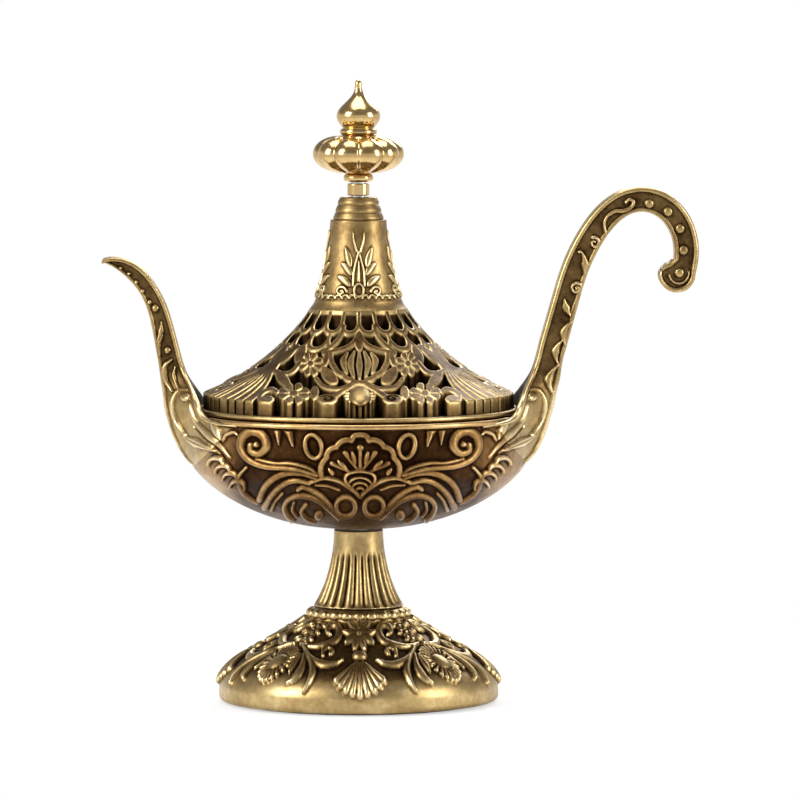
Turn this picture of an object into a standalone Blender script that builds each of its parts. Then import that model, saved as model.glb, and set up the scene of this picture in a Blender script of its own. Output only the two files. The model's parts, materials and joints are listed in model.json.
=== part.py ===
"""Lamp-shaped incense burner: a pierced, lift-off lid on a footed bowl with a spout and a hooked handle.

Units are metres, +Z is up, +X points to the handle and the spout points along -X.
The origin is the middle of the felt pad that the burner stands on.
"""

import math

import bmesh
import bpy
from mathutils import Vector

MM = 0.001

# Clearances
SEAT_GAP = 0.3 * MM
ROD_CLEARANCE = 0.3 * MM
LID_CLEARANCE = 0.6 * MM
SPIGOT_CLEARANCE = 0.5 * MM

# Felt pad and foot
PAD_RADIUS = 25.0 * MM
PAD_THICKNESS = 1.2 * MM
PAD_PROUD = 0.4 * MM
FOOT_RADIUS = 28.0 * MM
FOOT_HEIGHT = 18.6 * MM
FOOT_RIM_HEIGHT = 3.0 * MM
FOOT_EDGE_ROUND = 0.8 * MM
FOOT_COLLAR_RADIUS = 9.8 * MM
FOOT_COLLAR_HEIGHT = 1.9 * MM
FOOT_COLLAR_CHAMFER = 0.3 * MM
FOOT_WALL = 2.2 * MM

# Raised motifs on each side of the foot. Lengths run down the slope and are measured along the radius
FOOT_SIDES = 4
MOTIF_EDGE = 0.7 * MM
MOTIF_CROWN = 1.0 * MM
MOTIF_SINK = 0.8 * MM
ROSETTE_RADIUS = 14.0 * MM
ROSETTE_HALF_LENGTH = 2.7 * MM
ROSETTE_HALF_WIDTH = 3.2 * MM
ROSETTE_PETALS = 9
FLOWER_RADIUS = 22.4 * MM
FLOWER_HALF_LENGTH = 4.2 * MM
FLOWER_HALF_WIDTH = 3.4 * MM
FLOWER_RAYS = 11
SHELL_LENGTH = 7.0 * MM
SHELL_EDGE_MARGIN = 0.4 * MM
SHELL_TOP_RADIUS = FOOT_RADIUS - SHELL_EDGE_MARGIN - SHELL_LENGTH
SHELL_HALF_WIDTH = 5.2 * MM
SHELL_RIBS = 5
SHELL_SPREAD = math.radians(68.0)
LEAF_TURN = math.radians(25.0)
LEAF_RADIUS = 22.2 * MM
LEAF_HALF_LENGTH = 4.4 * MM
LEAF_HALF_WIDTH = 1.2 * MM

# Fluted stem
STEM_HEIGHT = 15.2 * MM
STEM_BASE_RADIUS = 9.0 * MM
STEM_TOP_RADIUS = 4.9 * MM
FLUTE_COUNT = 20
FLUTE_DEPTH = 0.45 * MM
FLUTE_PLAIN_TOP = 3.0 * MM
FLUTE_PLAIN_BASE = 1.2 * MM

# Bowl
BOWL_DEPTH = 23.0 * MM
BOWL_SEAT_RADIUS = 5.6 * MM
BOWL_BELLY_RADIUS = 32.5 * MM
BOWL_BELLY_HEIGHT = 11.3 * MM
BOWL_RIM_RADIUS = 33.3 * MM
BOWL_SWELL = 1.3 * MM
BOWL_WALL = 1.8 * MM
RIM_BEAD_RADIUS = 0.8 * MM
PROW_REACH = 5.7 * MM
PROW_START_HEIGHT = 10.0 * MM

# Spout and handle, each a tapered arm standing on a prow of the bowl
ARM_ROOT_PROUD = 2.7 * MM
ARM_ROOT_RADIUS = BOWL_RIM_RADIUS + ARM_ROOT_PROUD
ARM_ROOT_HALF_WIDTH = 3.2 * MM
ARM_ROOT_HALF_DEPTH = 12.5 * MM
ARM_ROOT_BOW = 1.1
SPOUT_HEIGHT = 30.2 * MM
SPOUT_REACH = 15.1 * MM
SPOUT_HALF_WIDTH = 1.9 * MM
SPOUT_HALF_DEPTH = 3.4 * MM
SPOUT_TIP_HALF_WIDTH = 0.5 * MM
SPOUT_TIP_HALF_DEPTH = 2.0 * MM
SPOUT_BOW = 0.6
HANDLE_RISE = 43.8 * MM
HANDLE_REACH = 20.4 * MM
HANDLE_HOOK_REACH = 9.2 * MM
HANDLE_HOOK_DROP = 13.4 * MM
HANDLE_HALF_WIDTH = 2.5 * MM
HANDLE_HALF_DEPTH = 3.0 * MM
HANDLE_BOW = 0.45
HANDLE_SCROLL_RADIUS = 3.6 * MM
HANDLE_SCROLL_INSET = 1.4 * MM
HANDLE_SCROLL_PROUD = 0.15 * MM

# Tie rod that clamps foot, stem and bowl together
ROD_RADIUS = 2.0 * MM
ROD_TAIL = 1.0 * MM
WASHER_RADIUS = 4.6 * MM
WASHER_THICKNESS = 0.8 * MM
NUT_RADIUS = 4.0 * MM
NUT_HEIGHT = 3.0 * MM

# Incense dish and stick holder
DISH_FLOOR_RADIUS = 18.0 * MM
DISH_RIM_HEIGHT = 3.4 * MM
DISH_RIM_FLARE = 2.5 * MM
DISH_THICKNESS = 1.0 * MM
HOLDER_RADIUS = 4.4 * MM
HOLDER_HEIGHT = 6.0 * MM
HOLDER_TOP_RADIUS = 2.6 * MM
STICK_BORE_RADIUS = 1.3 * MM
STICK_BORE_DEPTH = 5.0 * MM
HOLDER_SHANK_RADIUS = 1.5 * MM
HOLDER_NUT_RADIUS = 2.8 * MM
HOLDER_NUT_HEIGHT = 1.4 * MM
HOLDER_TAIL = 0.4 * MM

# Lid
FLANGE_RADIUS = BOWL_RIM_RADIUS - 0.8 * MM
FLANGE_THICKNESS = 1.0 * MM
FLANGE_WIDTH = 4.0 * MM
SPIGOT_DEPTH = 2.2 * MM
SPIGOT_WALL = 1.2 * MM
DOME_EDGE_INSET = 1.4 * MM
DOME_EDGE_HEIGHT = 2.6 * MM
DOME_HEIGHT = 19.4 * MM
DOME_TOP_RADIUS = 9.8 * MM
DOME_THICKNESS = 3.0 * MM
ARCH_COUNT = 21
ARCH_OPENING = (11.15 * MM, 1.05 * MM, 1.05 * MM)
MOTIF_COUNT = 3
MOTIF_OPENINGS = (
    # degrees to both sides of a motif's middle, radius, half length along the radius, half width
    (34.3, 13.9 * MM, 1.1 * MM, 1.25 * MM),
    (51.4, 13.8 * MM, 1.0 * MM, 1.1 * MM),
    (15.6, 16.3 * MM, 0.8 * MM, 0.8 * MM),
    (49.7, 18.6 * MM, 1.4 * MM, 1.4 * MM),
    (32.5, 21.2 * MM, 1.2 * MM, 2.8 * MM),
    (9.4, 21.8 * MM, 0.7 * MM, 0.9 * MM),
    (17.2, 24.3 * MM, 0.6 * MM, 1.8 * MM),
    (40.8, 27.4 * MM, 2.2 * MM, 0.8 * MM),
    (20.5, 31.9 * MM, 2.8 * MM, 5.8 * MM),
)
NECK_HEIGHT = 22.0 * MM
NECK_BAND_HEIGHT = 1.9 * MM
NECK_WAIST_RADIUS = 5.6 * MM
NECK_TOP_RADIUS = 3.6 * MM
NECK_STEPS = 3
NECK_STEP_ZONE = 4.6 * MM
NECK_STEP_CHAMFER = 0.3 * MM
NECK_WALL = 2.0 * MM
NECK_TOP_WALL = 1.8 * MM

# Finial
FERRULE_RADIUS = 2.2 * MM
FERRULE_HEIGHT = 2.4 * MM
KNOB_HEIGHT = 20.4 * MM
KNOB_COLLAR_RADIUS = 3.0 * MM
KNOB_COLLAR_HEIGHT = 1.7 * MM
KNOB_BULB_RADIUS = 8.8 * MM
KNOB_BULB_HEIGHT = 7.6 * MM
KNOB_RING_RADIUS = 4.2 * MM
KNOB_RING_HEIGHT = 1.4 * MM
KNOB_BUD_RADIUS = 4.6 * MM
KNOB_TIP_RADIUS = 0.7 * MM
KNOB_LOBES = 10
KNOB_LOBE_DEPTH = 0.5 * MM
STUD_RADIUS = 1.4 * MM
STUD_DEPTH_IN_KNOB = 5.0 * MM
FINIAL_NUT_RADIUS = 2.6 * MM
FINIAL_NUT_HEIGHT = 2.0 * MM
FINIAL_WASHER_RADIUS = 2.8 * MM
FINIAL_WASHER_THICKNESS = 0.5 * MM
STUD_TAIL = 0.6 * MM

# Heights that follow from the stack of pieces
FOOT_BASE_Z = PAD_PROUD
FOOT_TOP_Z = FOOT_BASE_Z + FOOT_HEIGHT
STEM_BASE_Z = FOOT_TOP_Z + SEAT_GAP
STEM_TOP_Z = STEM_BASE_Z + STEM_HEIGHT
BOWL_BASE_Z = STEM_TOP_Z + SEAT_GAP
RIM_Z = BOWL_BASE_Z + BOWL_DEPTH
BOWL_FLOOR_Z = BOWL_BASE_Z + BOWL_WALL
FLANGE_BASE_Z = RIM_Z + SEAT_GAP
FLANGE_TOP_Z = FLANGE_BASE_Z + FLANGE_THICKNESS
DOME_BASE_Z = FLANGE_TOP_Z + SEAT_GAP
DOME_TOP_Z = DOME_BASE_Z + DOME_HEIGHT
NECK_BASE_Z = DOME_TOP_Z + SEAT_GAP
NECK_TOP_Z = NECK_BASE_Z + NECK_HEIGHT
FERRULE_BASE_Z = NECK_TOP_Z + SEAT_GAP
KNOB_BASE_Z = FERRULE_BASE_Z + FERRULE_HEIGHT + SEAT_GAP

# Facets
FINE_STEPS = 36
MEDIUM_STEPS = 24
SMALL_STEPS = 18
FOOT_SLOPE_POINTS = 8
LEAF_POINTS = 4
ARM_SIDE_POINTS = 10
OPENING_SIDES = 8
DOME_SIDE_POINTS = 8
CURVE_POINTS = 6

# Colours, roughness and metallic value of each finish
AGED_BRASS = ("aged_brass", (0.36, 0.25, 0.11, 1.0), 0.42, 1.0)
GOLD = ("polished_gold", (0.83, 0.62, 0.30, 1.0), 0.2, 1.0)
PLAIN_BRASS = ("plain_brass", (0.60, 0.45, 0.20, 1.0), 0.35, 1.0)
STEEL = ("zinc_plated_steel", (0.62, 0.62, 0.60, 1.0), 0.35, 1.0)
FELT = ("black_felt", (0.03, 0.03, 0.03, 1.0), 0.95, 0.0)

BURNER_COLLECTION = "incense_burner"
CUTTER_COLLECTION = "cutters"


def clear_scene():
    for obj in list(bpy.data.objects):
        bpy.data.objects.remove(obj, do_unlink=True)
    for name in (BURNER_COLLECTION, CUTTER_COLLECTION):
        collection = bpy.data.collections.new(name)
        bpy.context.scene.collection.children.link(collection)


def material(finish):
    name, colour, roughness, metallic = finish
    found = bpy.data.materials.get(name)
    if found:
        return found
    made = bpy.data.materials.new(name)
    made.use_nodes = True
    shader = made.node_tree.nodes["Principled BSDF"]
    shader.inputs["Base Color"].default_value = colour
    shader.inputs["Roughness"].default_value = roughness
    shader.inputs["Metallic"].default_value = metallic
    return made


def add_object(name, mesh, finish):
    obj = bpy.data.objects.new(name, mesh)
    bpy.data.collections[BURNER_COLLECTION].objects.link(obj)
    mesh.materials.append(material(finish))
    return obj


def as_cutter(obj):
    bpy.data.collections[BURNER_COLLECTION].objects.unlink(obj)
    bpy.data.collections[CUTTER_COLLECTION].objects.link(obj)
    obj.hide_render = True
    obj.display_type = "WIRE"
    return obj


def cut(obj, cutter):
    modifier = obj.modifiers.new("cut_" + cutter.name, "BOOLEAN")
    modifier.operation = "DIFFERENCE"
    modifier.object = cutter


def join(obj, addition):
    modifier = obj.modifiers.new("join_" + addition.name, "BOOLEAN")
    modifier.operation = "UNION"
    modifier.object = addition


def bezier(p0, p1, p2, p3, count=CURVE_POINTS):
    """Points of a cubic curve in the plane, both ends included."""
    points = []
    for i in range(count + 1):
        t = i / count
        s = 1 - t
        weights = (s * s * s, 3 * s * s * t, 3 * s * t * t, t * t * t)
        points.append(tuple(sum(w * p[k] for w, p in zip(weights, (p0, p1, p2, p3))) for k in (0, 1)))
    return points


def arc(centre, radius, start_deg, end_deg, count=5):
    """Points of an arc in the profile plane, both ends included."""
    points = []
    for i in range(count + 1):
        a = math.radians(start_deg + (end_deg - start_deg) * i / count)
        points.append((centre[0] + radius * math.cos(a), centre[1] + radius * math.sin(a)))
    return points


def offset(points, distance):
    """The open polyline moved to its right by distance, seen along its run."""
    moved = []
    for i, (r, z) in enumerate(points):
        before = points[max(i - 1, 0)]
        after = points[min(i + 1, len(points) - 1)]
        along = Vector((after[0] - before[0], after[1] - before[1])).normalized()
        moved.append((r + along.y * distance, z - along.x * distance))
    return moved


def turned(name, profile, finish, steps=MEDIUM_STEPS, closed=True):
    """A turned solid. The profile of (radius, height) runs down the outer side, then back up any bore."""
    mesh = bpy.data.meshes.new(name)
    vertices = [(r, 0.0, z) for r, z in profile]
    edges = [(i, i + 1) for i in range(len(vertices) - 1)]
    if closed:
        edges.append((len(vertices) - 1, 0))
    mesh.from_pydata(vertices, edges, [])
    obj = add_object(name, mesh, finish)
    screw = obj.modifiers.new("turn", "SCREW")
    screw.axis = "Z"
    screw.angle = math.tau
    screw.steps = steps
    screw.render_steps = steps
    screw.use_merge_vertices = True
    screw.merge_threshold = 0.00001
    screw.use_smooth_shade = True
    return obj


def solid_turned(name, profile, finish, steps=MEDIUM_STEPS):
    """A turned solid with no bore, whose profile starts and ends on the axis."""
    return turned(name, profile, finish, steps, closed=False)


def freeze(obj):
    """The object with its modifiers turned into plain mesh, so that its vertices can be moved."""
    graph = bpy.context.evaluated_depsgraph_get()
    frozen = bpy.data.meshes.new_from_object(obj.evaluated_get(graph))
    obj.modifiers.clear()
    obj.data = frozen
    return frozen


def ring(name, outer, inner, base_z, height, finish, steps=SMALL_STEPS):
    top_z = base_z + height
    profile = [(outer, top_z), (outer, base_z), (inner, base_z), (inner, top_z)]
    return turned(name, profile, finish, steps)


def hex_nut(name, corner_radius, bore, base_z, height, finish):
    """A six-sided nut. The number of steps is a multiple of six, so that each corner has a vertex."""
    obj = ring(name, corner_radius, bore, base_z, height, finish, steps=SMALL_STEPS)
    mesh = freeze(obj)
    flat = corner_radius * math.cos(math.pi / 6)
    for v in mesh.vertices:
        r = math.hypot(v.co.x, v.co.y)
        if r < 0.99 * corner_radius:
            continue
        sector = math.pi / 3
        turn = (math.atan2(v.co.y, v.co.x) % sector) - sector / 2
        scale = flat / math.cos(turn) / r
        v.co.x *= scale
        v.co.y *= scale
    return obj


def loft(name, rings, finish):
    """A closed tube through rings of points, with a face over each end."""
    mesh = bpy.data.meshes.new(name)
    work = bmesh.new()
    rows = [[work.verts.new(p) for p in points] for points in rings]
    for low, high in zip(rows, rows[1:]):
        for i in range(len(low)):
            j = (i + 1) % len(low)
            work.faces.new((low[i], low[j], high[j], high[i]))
    work.faces.new(reversed(rows[0]))
    work.faces.new(rows[-1])
    bmesh.ops.recalc_face_normals(work, faces=work.faces)
    work.to_mesh(mesh)
    work.free()
    return add_object(name, mesh, finish)


# Foot, stem and their hardware


def foot_slope():
    """Outer face of the foot from the collar's base to the top of the rim."""
    collar_base = FOOT_TOP_Z - FOOT_COLLAR_HEIGHT
    rim_top = FOOT_BASE_Z + FOOT_RIM_HEIGHT
    run = FOOT_RADIUS - FOOT_COLLAR_RADIUS
    drop = collar_base - rim_top
    return bezier(
        (FOOT_COLLAR_RADIUS, collar_base),
        (FOOT_COLLAR_RADIUS + 0.36 * run, collar_base - 0.38 * drop),
        (FOOT_RADIUS - 0.04 * run, rim_top + 0.40 * drop),
        (FOOT_RADIUS, rim_top),
        FOOT_SLOPE_POINTS,
    )


def on_slope(slope, angle, radius, across, height):
    """A point over the slope, at a distance across from an angle and at a height along the slope's normal."""
    for low, high in zip(slope, slope[1:]):
        if radius <= high[0]:
            break
    along = Vector((high[0] - low[0], high[1] - low[1])).normalized()
    z = low[1] + along.y / along.x * (radius - low[0])
    turn = angle + across / radius
    r = radius - along.y * height
    return Vector((r * math.cos(turn), r * math.sin(turn), z + along.x * height))


def star_outline(radius, half_length, half_width, points):
    """Outline of a flower on the slope, as distances across and radii: petal tips with notches between."""
    outline = []
    for i in range(2 * points):
        a = math.pi * i / points
        reach = 1.0 - 0.2 * (i % 2)
        outline.append((half_width * reach * math.sin(a), radius + half_length * reach * math.cos(a)))
    return outline


def shell_outline():
    """Outline of a shell on the slope: its top, then the scalloped edge that fans out below."""
    outline = [(0.0, SHELL_TOP_RADIUS)]
    for i in range(2 * SHELL_RIBS + 1):
        a = SHELL_SPREAD * (i / SHELL_RIBS - 1)
        reach = 0.86 + 0.14 * (i % 2)
        across = SHELL_HALF_WIDTH * reach * math.sin(a)
        outline.append((across, SHELL_TOP_RADIUS + SHELL_LENGTH * reach * math.cos(a)))
    return outline


def leaf_outline():
    """Outline of a leaf on the slope, pointed at both ends."""
    outline = []
    for i in range(2 * LEAF_POINTS):
        a = math.pi * i / LEAF_POINTS
        across = LEAF_HALF_WIDTH * math.sin(a) * abs(math.sin(a))
        outline.append((across, LEAF_RADIUS + LEAF_HALF_LENGTH * math.cos(a)))
    return outline


def add_motif(work, slope, angle, outline):
    """A raised plate wrapped on the slope: its outline has upright sides, and its middle stands higher."""
    middle = sum(radius for _, radius in outline) / len(outline)
    low = [work.verts.new(on_slope(slope, angle, r, across, -MOTIF_SINK)) for across, r in outline]
    high = [work.verts.new(on_slope(slope, angle, r, across, MOTIF_EDGE)) for across, r in outline]
    root = work.verts.new(on_slope(slope, angle, middle, 0.0, -MOTIF_SINK))
    crown = work.verts.new(on_slope(slope, angle, middle, 0.0, MOTIF_CROWN))
    for i in range(len(outline)):
        j = (i + 1) % len(outline)
        work.faces.new((low[i], low[j], high[j], high[i]))
        work.faces.new((high[i], high[j], crown))
        work.faces.new((low[j], low[i], root))


def foot_motifs(slope):
    """The raised motifs in one mesh: on each side a rosette, a shell and two leaves, then a flower."""
    mesh = bpy.data.meshes.new("foot_motifs")
    work = bmesh.new()
    rosette = star_outline(ROSETTE_RADIUS, ROSETTE_HALF_LENGTH, ROSETTE_HALF_WIDTH, ROSETTE_PETALS)
    flower = star_outline(FLOWER_RADIUS, FLOWER_HALF_LENGTH, FLOWER_HALF_WIDTH, FLOWER_RAYS)
    for i in range(FOOT_SIDES):
        angle = math.tau * i / FOOT_SIDES
        add_motif(work, slope, angle, rosette)
        add_motif(work, slope, angle, shell_outline())
        add_motif(work, slope, angle - LEAF_TURN, leaf_outline())
        add_motif(work, slope, angle + LEAF_TURN, leaf_outline())
        add_motif(work, slope, angle + math.pi / FOOT_SIDES, flower)
    bmesh.ops.recalc_face_normals(work, faces=work.faces)
    work.to_mesh(mesh)
    work.free()
    return as_cutter(add_object("foot_motifs", mesh, AGED_BRASS))


def make_foot():
    slope = foot_slope()
    hole = ROD_RADIUS + ROD_CLEARANCE
    edge_centre = (FOOT_RADIUS - FOOT_EDGE_ROUND, FOOT_BASE_Z + FOOT_EDGE_ROUND)
    inner = [(r, z) for r, z in offset(slope, FOOT_WALL) if r < PAD_RADIUS - FOOT_WALL]
    recess_z = PAD_THICKNESS + SEAT_GAP
    recess = PAD_RADIUS + SEAT_GAP
    collar_edge = (FOOT_COLLAR_RADIUS, FOOT_TOP_Z - FOOT_COLLAR_CHAMFER)
    profile = [(hole, FOOT_TOP_Z), (STEM_BASE_RADIUS, FOOT_TOP_Z), collar_edge]
    profile += slope
    profile += arc(edge_centre, FOOT_EDGE_ROUND, 0, -90, 3)
    profile += [(recess, FOOT_BASE_Z), (recess, recess_z), (inner[-1][0], recess_z)]
    profile += list(reversed(inner))
    profile.append((hole, inner[0][1]))
    foot = turned("foot", profile, AGED_BRASS, FINE_STEPS)
    join(foot, foot_motifs(slope))
    return inner[0][1]


def make_base_pad():
    profile = [(0.0, PAD_THICKNESS), (PAD_RADIUS, PAD_THICKNESS), (PAD_RADIUS, 0.0), (0.0, 0.0)]
    solid_turned("base_pad", profile, FELT, MEDIUM_STEPS)


def make_stem():
    hole = ROD_RADIUS + ROD_CLEARANCE
    run = STEM_BASE_RADIUS - STEM_TOP_RADIUS
    side = bezier(
        (STEM_TOP_RADIUS, STEM_TOP_Z),
        (STEM_TOP_RADIUS + 0.02 * run, STEM_TOP_Z - 0.4 * STEM_HEIGHT),
        (STEM_TOP_RADIUS + 0.42 * run, STEM_BASE_Z + 0.24 * STEM_HEIGHT),
        (STEM_BASE_RADIUS, STEM_BASE_Z),
    )
    profile = [(hole, STEM_TOP_Z), *side, (hole, STEM_BASE_Z)]
    stem = turned("stem", profile, AGED_BRASS, 3 * FLUTE_COUNT)
    flute_top = STEM_TOP_Z - FLUTE_PLAIN_TOP
    flute_base = STEM_BASE_Z + FLUTE_PLAIN_BASE
    for v in freeze(stem).vertices:
        r = math.hypot(v.co.x, v.co.y)
        if r < STEM_TOP_RADIUS - FLUTE_DEPTH or not flute_base < v.co.z < flute_top:
            continue
        wave = math.cos(FLUTE_COUNT * math.atan2(v.co.y, v.co.x))
        scale = 1 - FLUTE_DEPTH * max(0.0, wave) / r
        v.co.x *= scale
        v.co.y *= scale


def make_tie_rod(foot_roof_z):
    """The rod, with a washer and nut under the foot's roof and another pair on the bowl's floor."""
    bore = ROD_RADIUS + ROD_CLEARANCE
    low_washer_z = foot_roof_z - SEAT_GAP - WASHER_THICKNESS
    low_nut_z = low_washer_z - SEAT_GAP - NUT_HEIGHT
    high_washer_z = BOWL_FLOOR_Z + SEAT_GAP
    high_nut_z = high_washer_z + WASHER_THICKNESS + SEAT_GAP
    ring("foot_washer", WASHER_RADIUS, bore, low_washer_z, WASHER_THICKNESS, STEEL)
    hex_nut("foot_nut", NUT_RADIUS, bore, low_nut_z, NUT_HEIGHT, STEEL)
    ring("bowl_washer", WASHER_RADIUS, bore, high_washer_z, WASHER_THICKNESS, STEEL)
    hex_nut("bowl_nut", NUT_RADIUS, bore, high_nut_z, NUT_HEIGHT, STEEL)
    top = high_nut_z + NUT_HEIGHT + ROD_TAIL
    base = low_nut_z - ROD_TAIL
    profile = [(0.0, top), (ROD_RADIUS, top), (ROD_RADIUS, base), (0.0, base)]
    solid_turned("tie_rod", profile, STEEL, SMALL_STEPS)
    return top


# Bowl with a prow at each end


def bowl_side():
    """Outer face of the bowl from under the rim bead down to its seat on the stem."""
    belly_z = BOWL_BASE_Z + BOWL_BELLY_HEIGHT
    rim_z = RIM_Z - 2 * RIM_BEAD_RADIUS
    upper = bezier(
        (BOWL_RIM_RADIUS, rim_z),
        (BOWL_RIM_RADIUS + BOWL_SWELL, rim_z - 0.33 * (rim_z - belly_z)),
        (BOWL_BELLY_RADIUS + BOWL_SWELL, belly_z + 0.16 * (rim_z - belly_z)),
        (BOWL_BELLY_RADIUS, belly_z),
    )
    run = BOWL_BELLY_RADIUS - BOWL_SEAT_RADIUS
    lower = bezier(
        (BOWL_BELLY_RADIUS, belly_z),
        (BOWL_BELLY_RADIUS - 0.18 * run, BOWL_BASE_Z + 0.5 * BOWL_BELLY_HEIGHT),
        (BOWL_SEAT_RADIUS + 0.43 * run, BOWL_BASE_Z + 0.035 * BOWL_BELLY_HEIGHT),
        (BOWL_SEAT_RADIUS, BOWL_BASE_Z),
    )
    return upper + lower[1:]


def prow_radius(radius, angle, z):
    """Radius of the bowl's outline, pushed out by tangents to a blunt prow along +X and -X."""
    rise = (z - BOWL_BASE_Z - PROW_START_HEIGHT) / (BOWL_DEPTH - PROW_START_HEIGHT)
    if rise <= 0:
        return radius
    tip = radius + PROW_REACH * min(rise, 1.0) ** 1.25
    from_axis = abs((angle + math.pi / 2) % math.pi - math.pi / 2)
    spread = math.acos(radius / tip)
    return radius / math.cos(max(0.0, spread - from_axis))


def bead_share(angle):
    """Share of the rim bead's size at an angle: none where an arm stands, all of it elsewhere."""
    from_axis = abs((angle + math.pi / 2) % math.pi - math.pi / 2)
    half_spread = math.asin(ARM_ROOT_HALF_DEPTH / ARM_ROOT_RADIUS)
    return min(1.0, from_axis / half_spread)


def bowl_inner():
    """Inside face of the bowl, from the rim to the flat floor round the tie rod."""
    inner = offset(bowl_side(), BOWL_WALL)
    return [(r, z) for r, z in inner if z > BOWL_FLOOR_Z and r > WASHER_RADIUS + BOWL_WALL]


def rim_bore():
    """Radius inside the rim, which the lid's spigot drops into."""
    return BOWL_RIM_RADIUS - BOWL_WALL


def make_bowl():
    hole = ROD_RADIUS + ROD_CLEARANCE
    side = bowl_side()
    inner = bowl_inner()
    bead_centre = (BOWL_RIM_RADIUS, RIM_Z - RIM_BEAD_RADIUS)
    profile = [(rim_bore(), RIM_Z)]
    profile += arc(bead_centre, RIM_BEAD_RADIUS, 90, -90, 4)
    profile += side[1:]
    profile += [(hole, BOWL_BASE_Z), (hole, BOWL_FLOOR_Z), (WASHER_RADIUS + BOWL_WALL, BOWL_FLOOR_Z)]
    profile += list(reversed(inner))
    bowl = turned("bowl", profile, AGED_BRASS, FINE_STEPS)
    inside_limit = BOWL_WALL / 2
    outline = [(BOWL_RIM_RADIUS, RIM_Z), *side]
    for v in freeze(bowl).vertices:
        r = math.hypot(v.co.x, v.co.y)
        outer = radius_at(outline, v.co.z)
        if r < outer - inside_limit:
            continue
        angle = math.atan2(v.co.y, v.co.x)
        bead = max(0.0, r - BOWL_RIM_RADIUS) if v.co.z > RIM_Z - 2 * RIM_BEAD_RADIUS else 0.0
        scale = prow_radius(r - bead * (1 - bead_share(angle)), angle, v.co.z) / r
        v.co.x *= scale
        v.co.y *= scale


def radius_at(profile, z):
    """Radius of a profile that runs downwards, at height z."""
    for (r0, z0), (r1, z1) in zip(profile, profile[1:]):
        if z1 <= z <= z0 and z0 > z1:
            return r1 + (r0 - r1) * (z - z1) / (z0 - z1)
    return profile[0][0] if z > profile[0][1] else profile[-1][0]


# Spout and handle


def mix(a, b, t):
    return a + (b - a) * t


def arm_section(point, tangent, half_width, half_depth, bow, outward):
    """A closed ring across an arm: flat on the inner side, bowed on the outer side, squarer for a small bow.

    outward is -1 where the outer side lies to the left of the arm's run, and +1 where it lies to the right.
    """
    normal = Vector((tangent[1], 0.0, -tangent[0])) * outward
    centre = Vector((point[0], 0.0, point[1]))
    ring_points = []
    for i in range(ARM_SIDE_POINTS + 1):
        a = math.pi * i / ARM_SIDE_POINTS
        across = Vector((0.0, half_depth * math.cos(a), 0.0))
        ring_points.append(centre + normal * half_width * (2 * math.sin(a) ** bow - 1) + across)
    return ring_points


def arm(name, path, widths, depths, bows, outward, finish):
    """An arm lofted along a path in the XZ plane. Functions of its run give its half sizes and its bow."""
    rings = []
    last = len(path) - 1
    for i, point in enumerate(path):
        before = path[max(i - 1, 0)]
        after = path[min(i + 1, last)]
        tangent = Vector((after[0] - before[0], after[1] - before[1])).normalized()
        if i == 0:
            tangent = Vector((0.0, 1.0))
        t = i / last
        rings.append(arm_section(point, tangent, widths(t), depths(t), bows(t), outward))
    return loft(name, rings, finish)


def root_fall(t, reach):
    """One at the root of an arm, falling smoothly to nought at the share reach of its run."""
    share = min(t / reach, 1.0)
    return (1 - share) ** 2.4


def lid_path_cutter():
    """The space that the lid's flange sweeps as it lifts, with its clearance."""
    radius = FLANGE_RADIUS + LID_CLEARANCE
    top = RIM_Z + HANDLE_RISE
    profile = [(0.0, top), (radius, top), (radius, BOWL_BASE_Z), (0.0, BOWL_BASE_Z)]
    return as_cutter(solid_turned("lid_path_cutter", profile, AGED_BRASS, FINE_STEPS))


def make_spout(cutter):
    base = RIM_Z + SEAT_GAP
    root = -ARM_ROOT_RADIUS
    bend = (root - 0.22 * SPOUT_REACH, base + 0.58 * SPOUT_HEIGHT)
    tip = (root - SPOUT_REACH, base + SPOUT_HEIGHT)
    path = bezier(
        (root, base),
        (root, base + 0.18 * SPOUT_HEIGHT),
        (bend[0] + 0.1 * SPOUT_REACH, bend[1] - 0.2 * SPOUT_HEIGHT),
        bend,
        9,
    )
    path += bezier(
        bend,
        (bend[0] - 0.1 * SPOUT_REACH, bend[1] + 0.2 * SPOUT_HEIGHT),
        (tip[0] + 0.4 * SPOUT_REACH, tip[1] + 0.02 * SPOUT_HEIGHT),
        tip,
        9,
    )[1:]

    def widths(t):
        body = mix(SPOUT_HALF_WIDTH, SPOUT_TIP_HALF_WIDTH, max(0.0, (t - 0.7) / 0.3) ** 2)
        return body + (ARM_ROOT_HALF_WIDTH - SPOUT_HALF_WIDTH) * root_fall(t, 0.6)

    def depths(t):
        body = mix(SPOUT_HALF_DEPTH, SPOUT_TIP_HALF_DEPTH, t)
        return body + (ARM_ROOT_HALF_DEPTH - SPOUT_HALF_DEPTH) * root_fall(t, 0.5)

    def bows(t):
        return mix(ARM_ROOT_BOW, SPOUT_BOW, min(t / 0.4, 1.0))

    spout = arm("spout", path, widths, depths, bows, -1, AGED_BRASS)
    cut(spout, cutter)


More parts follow.
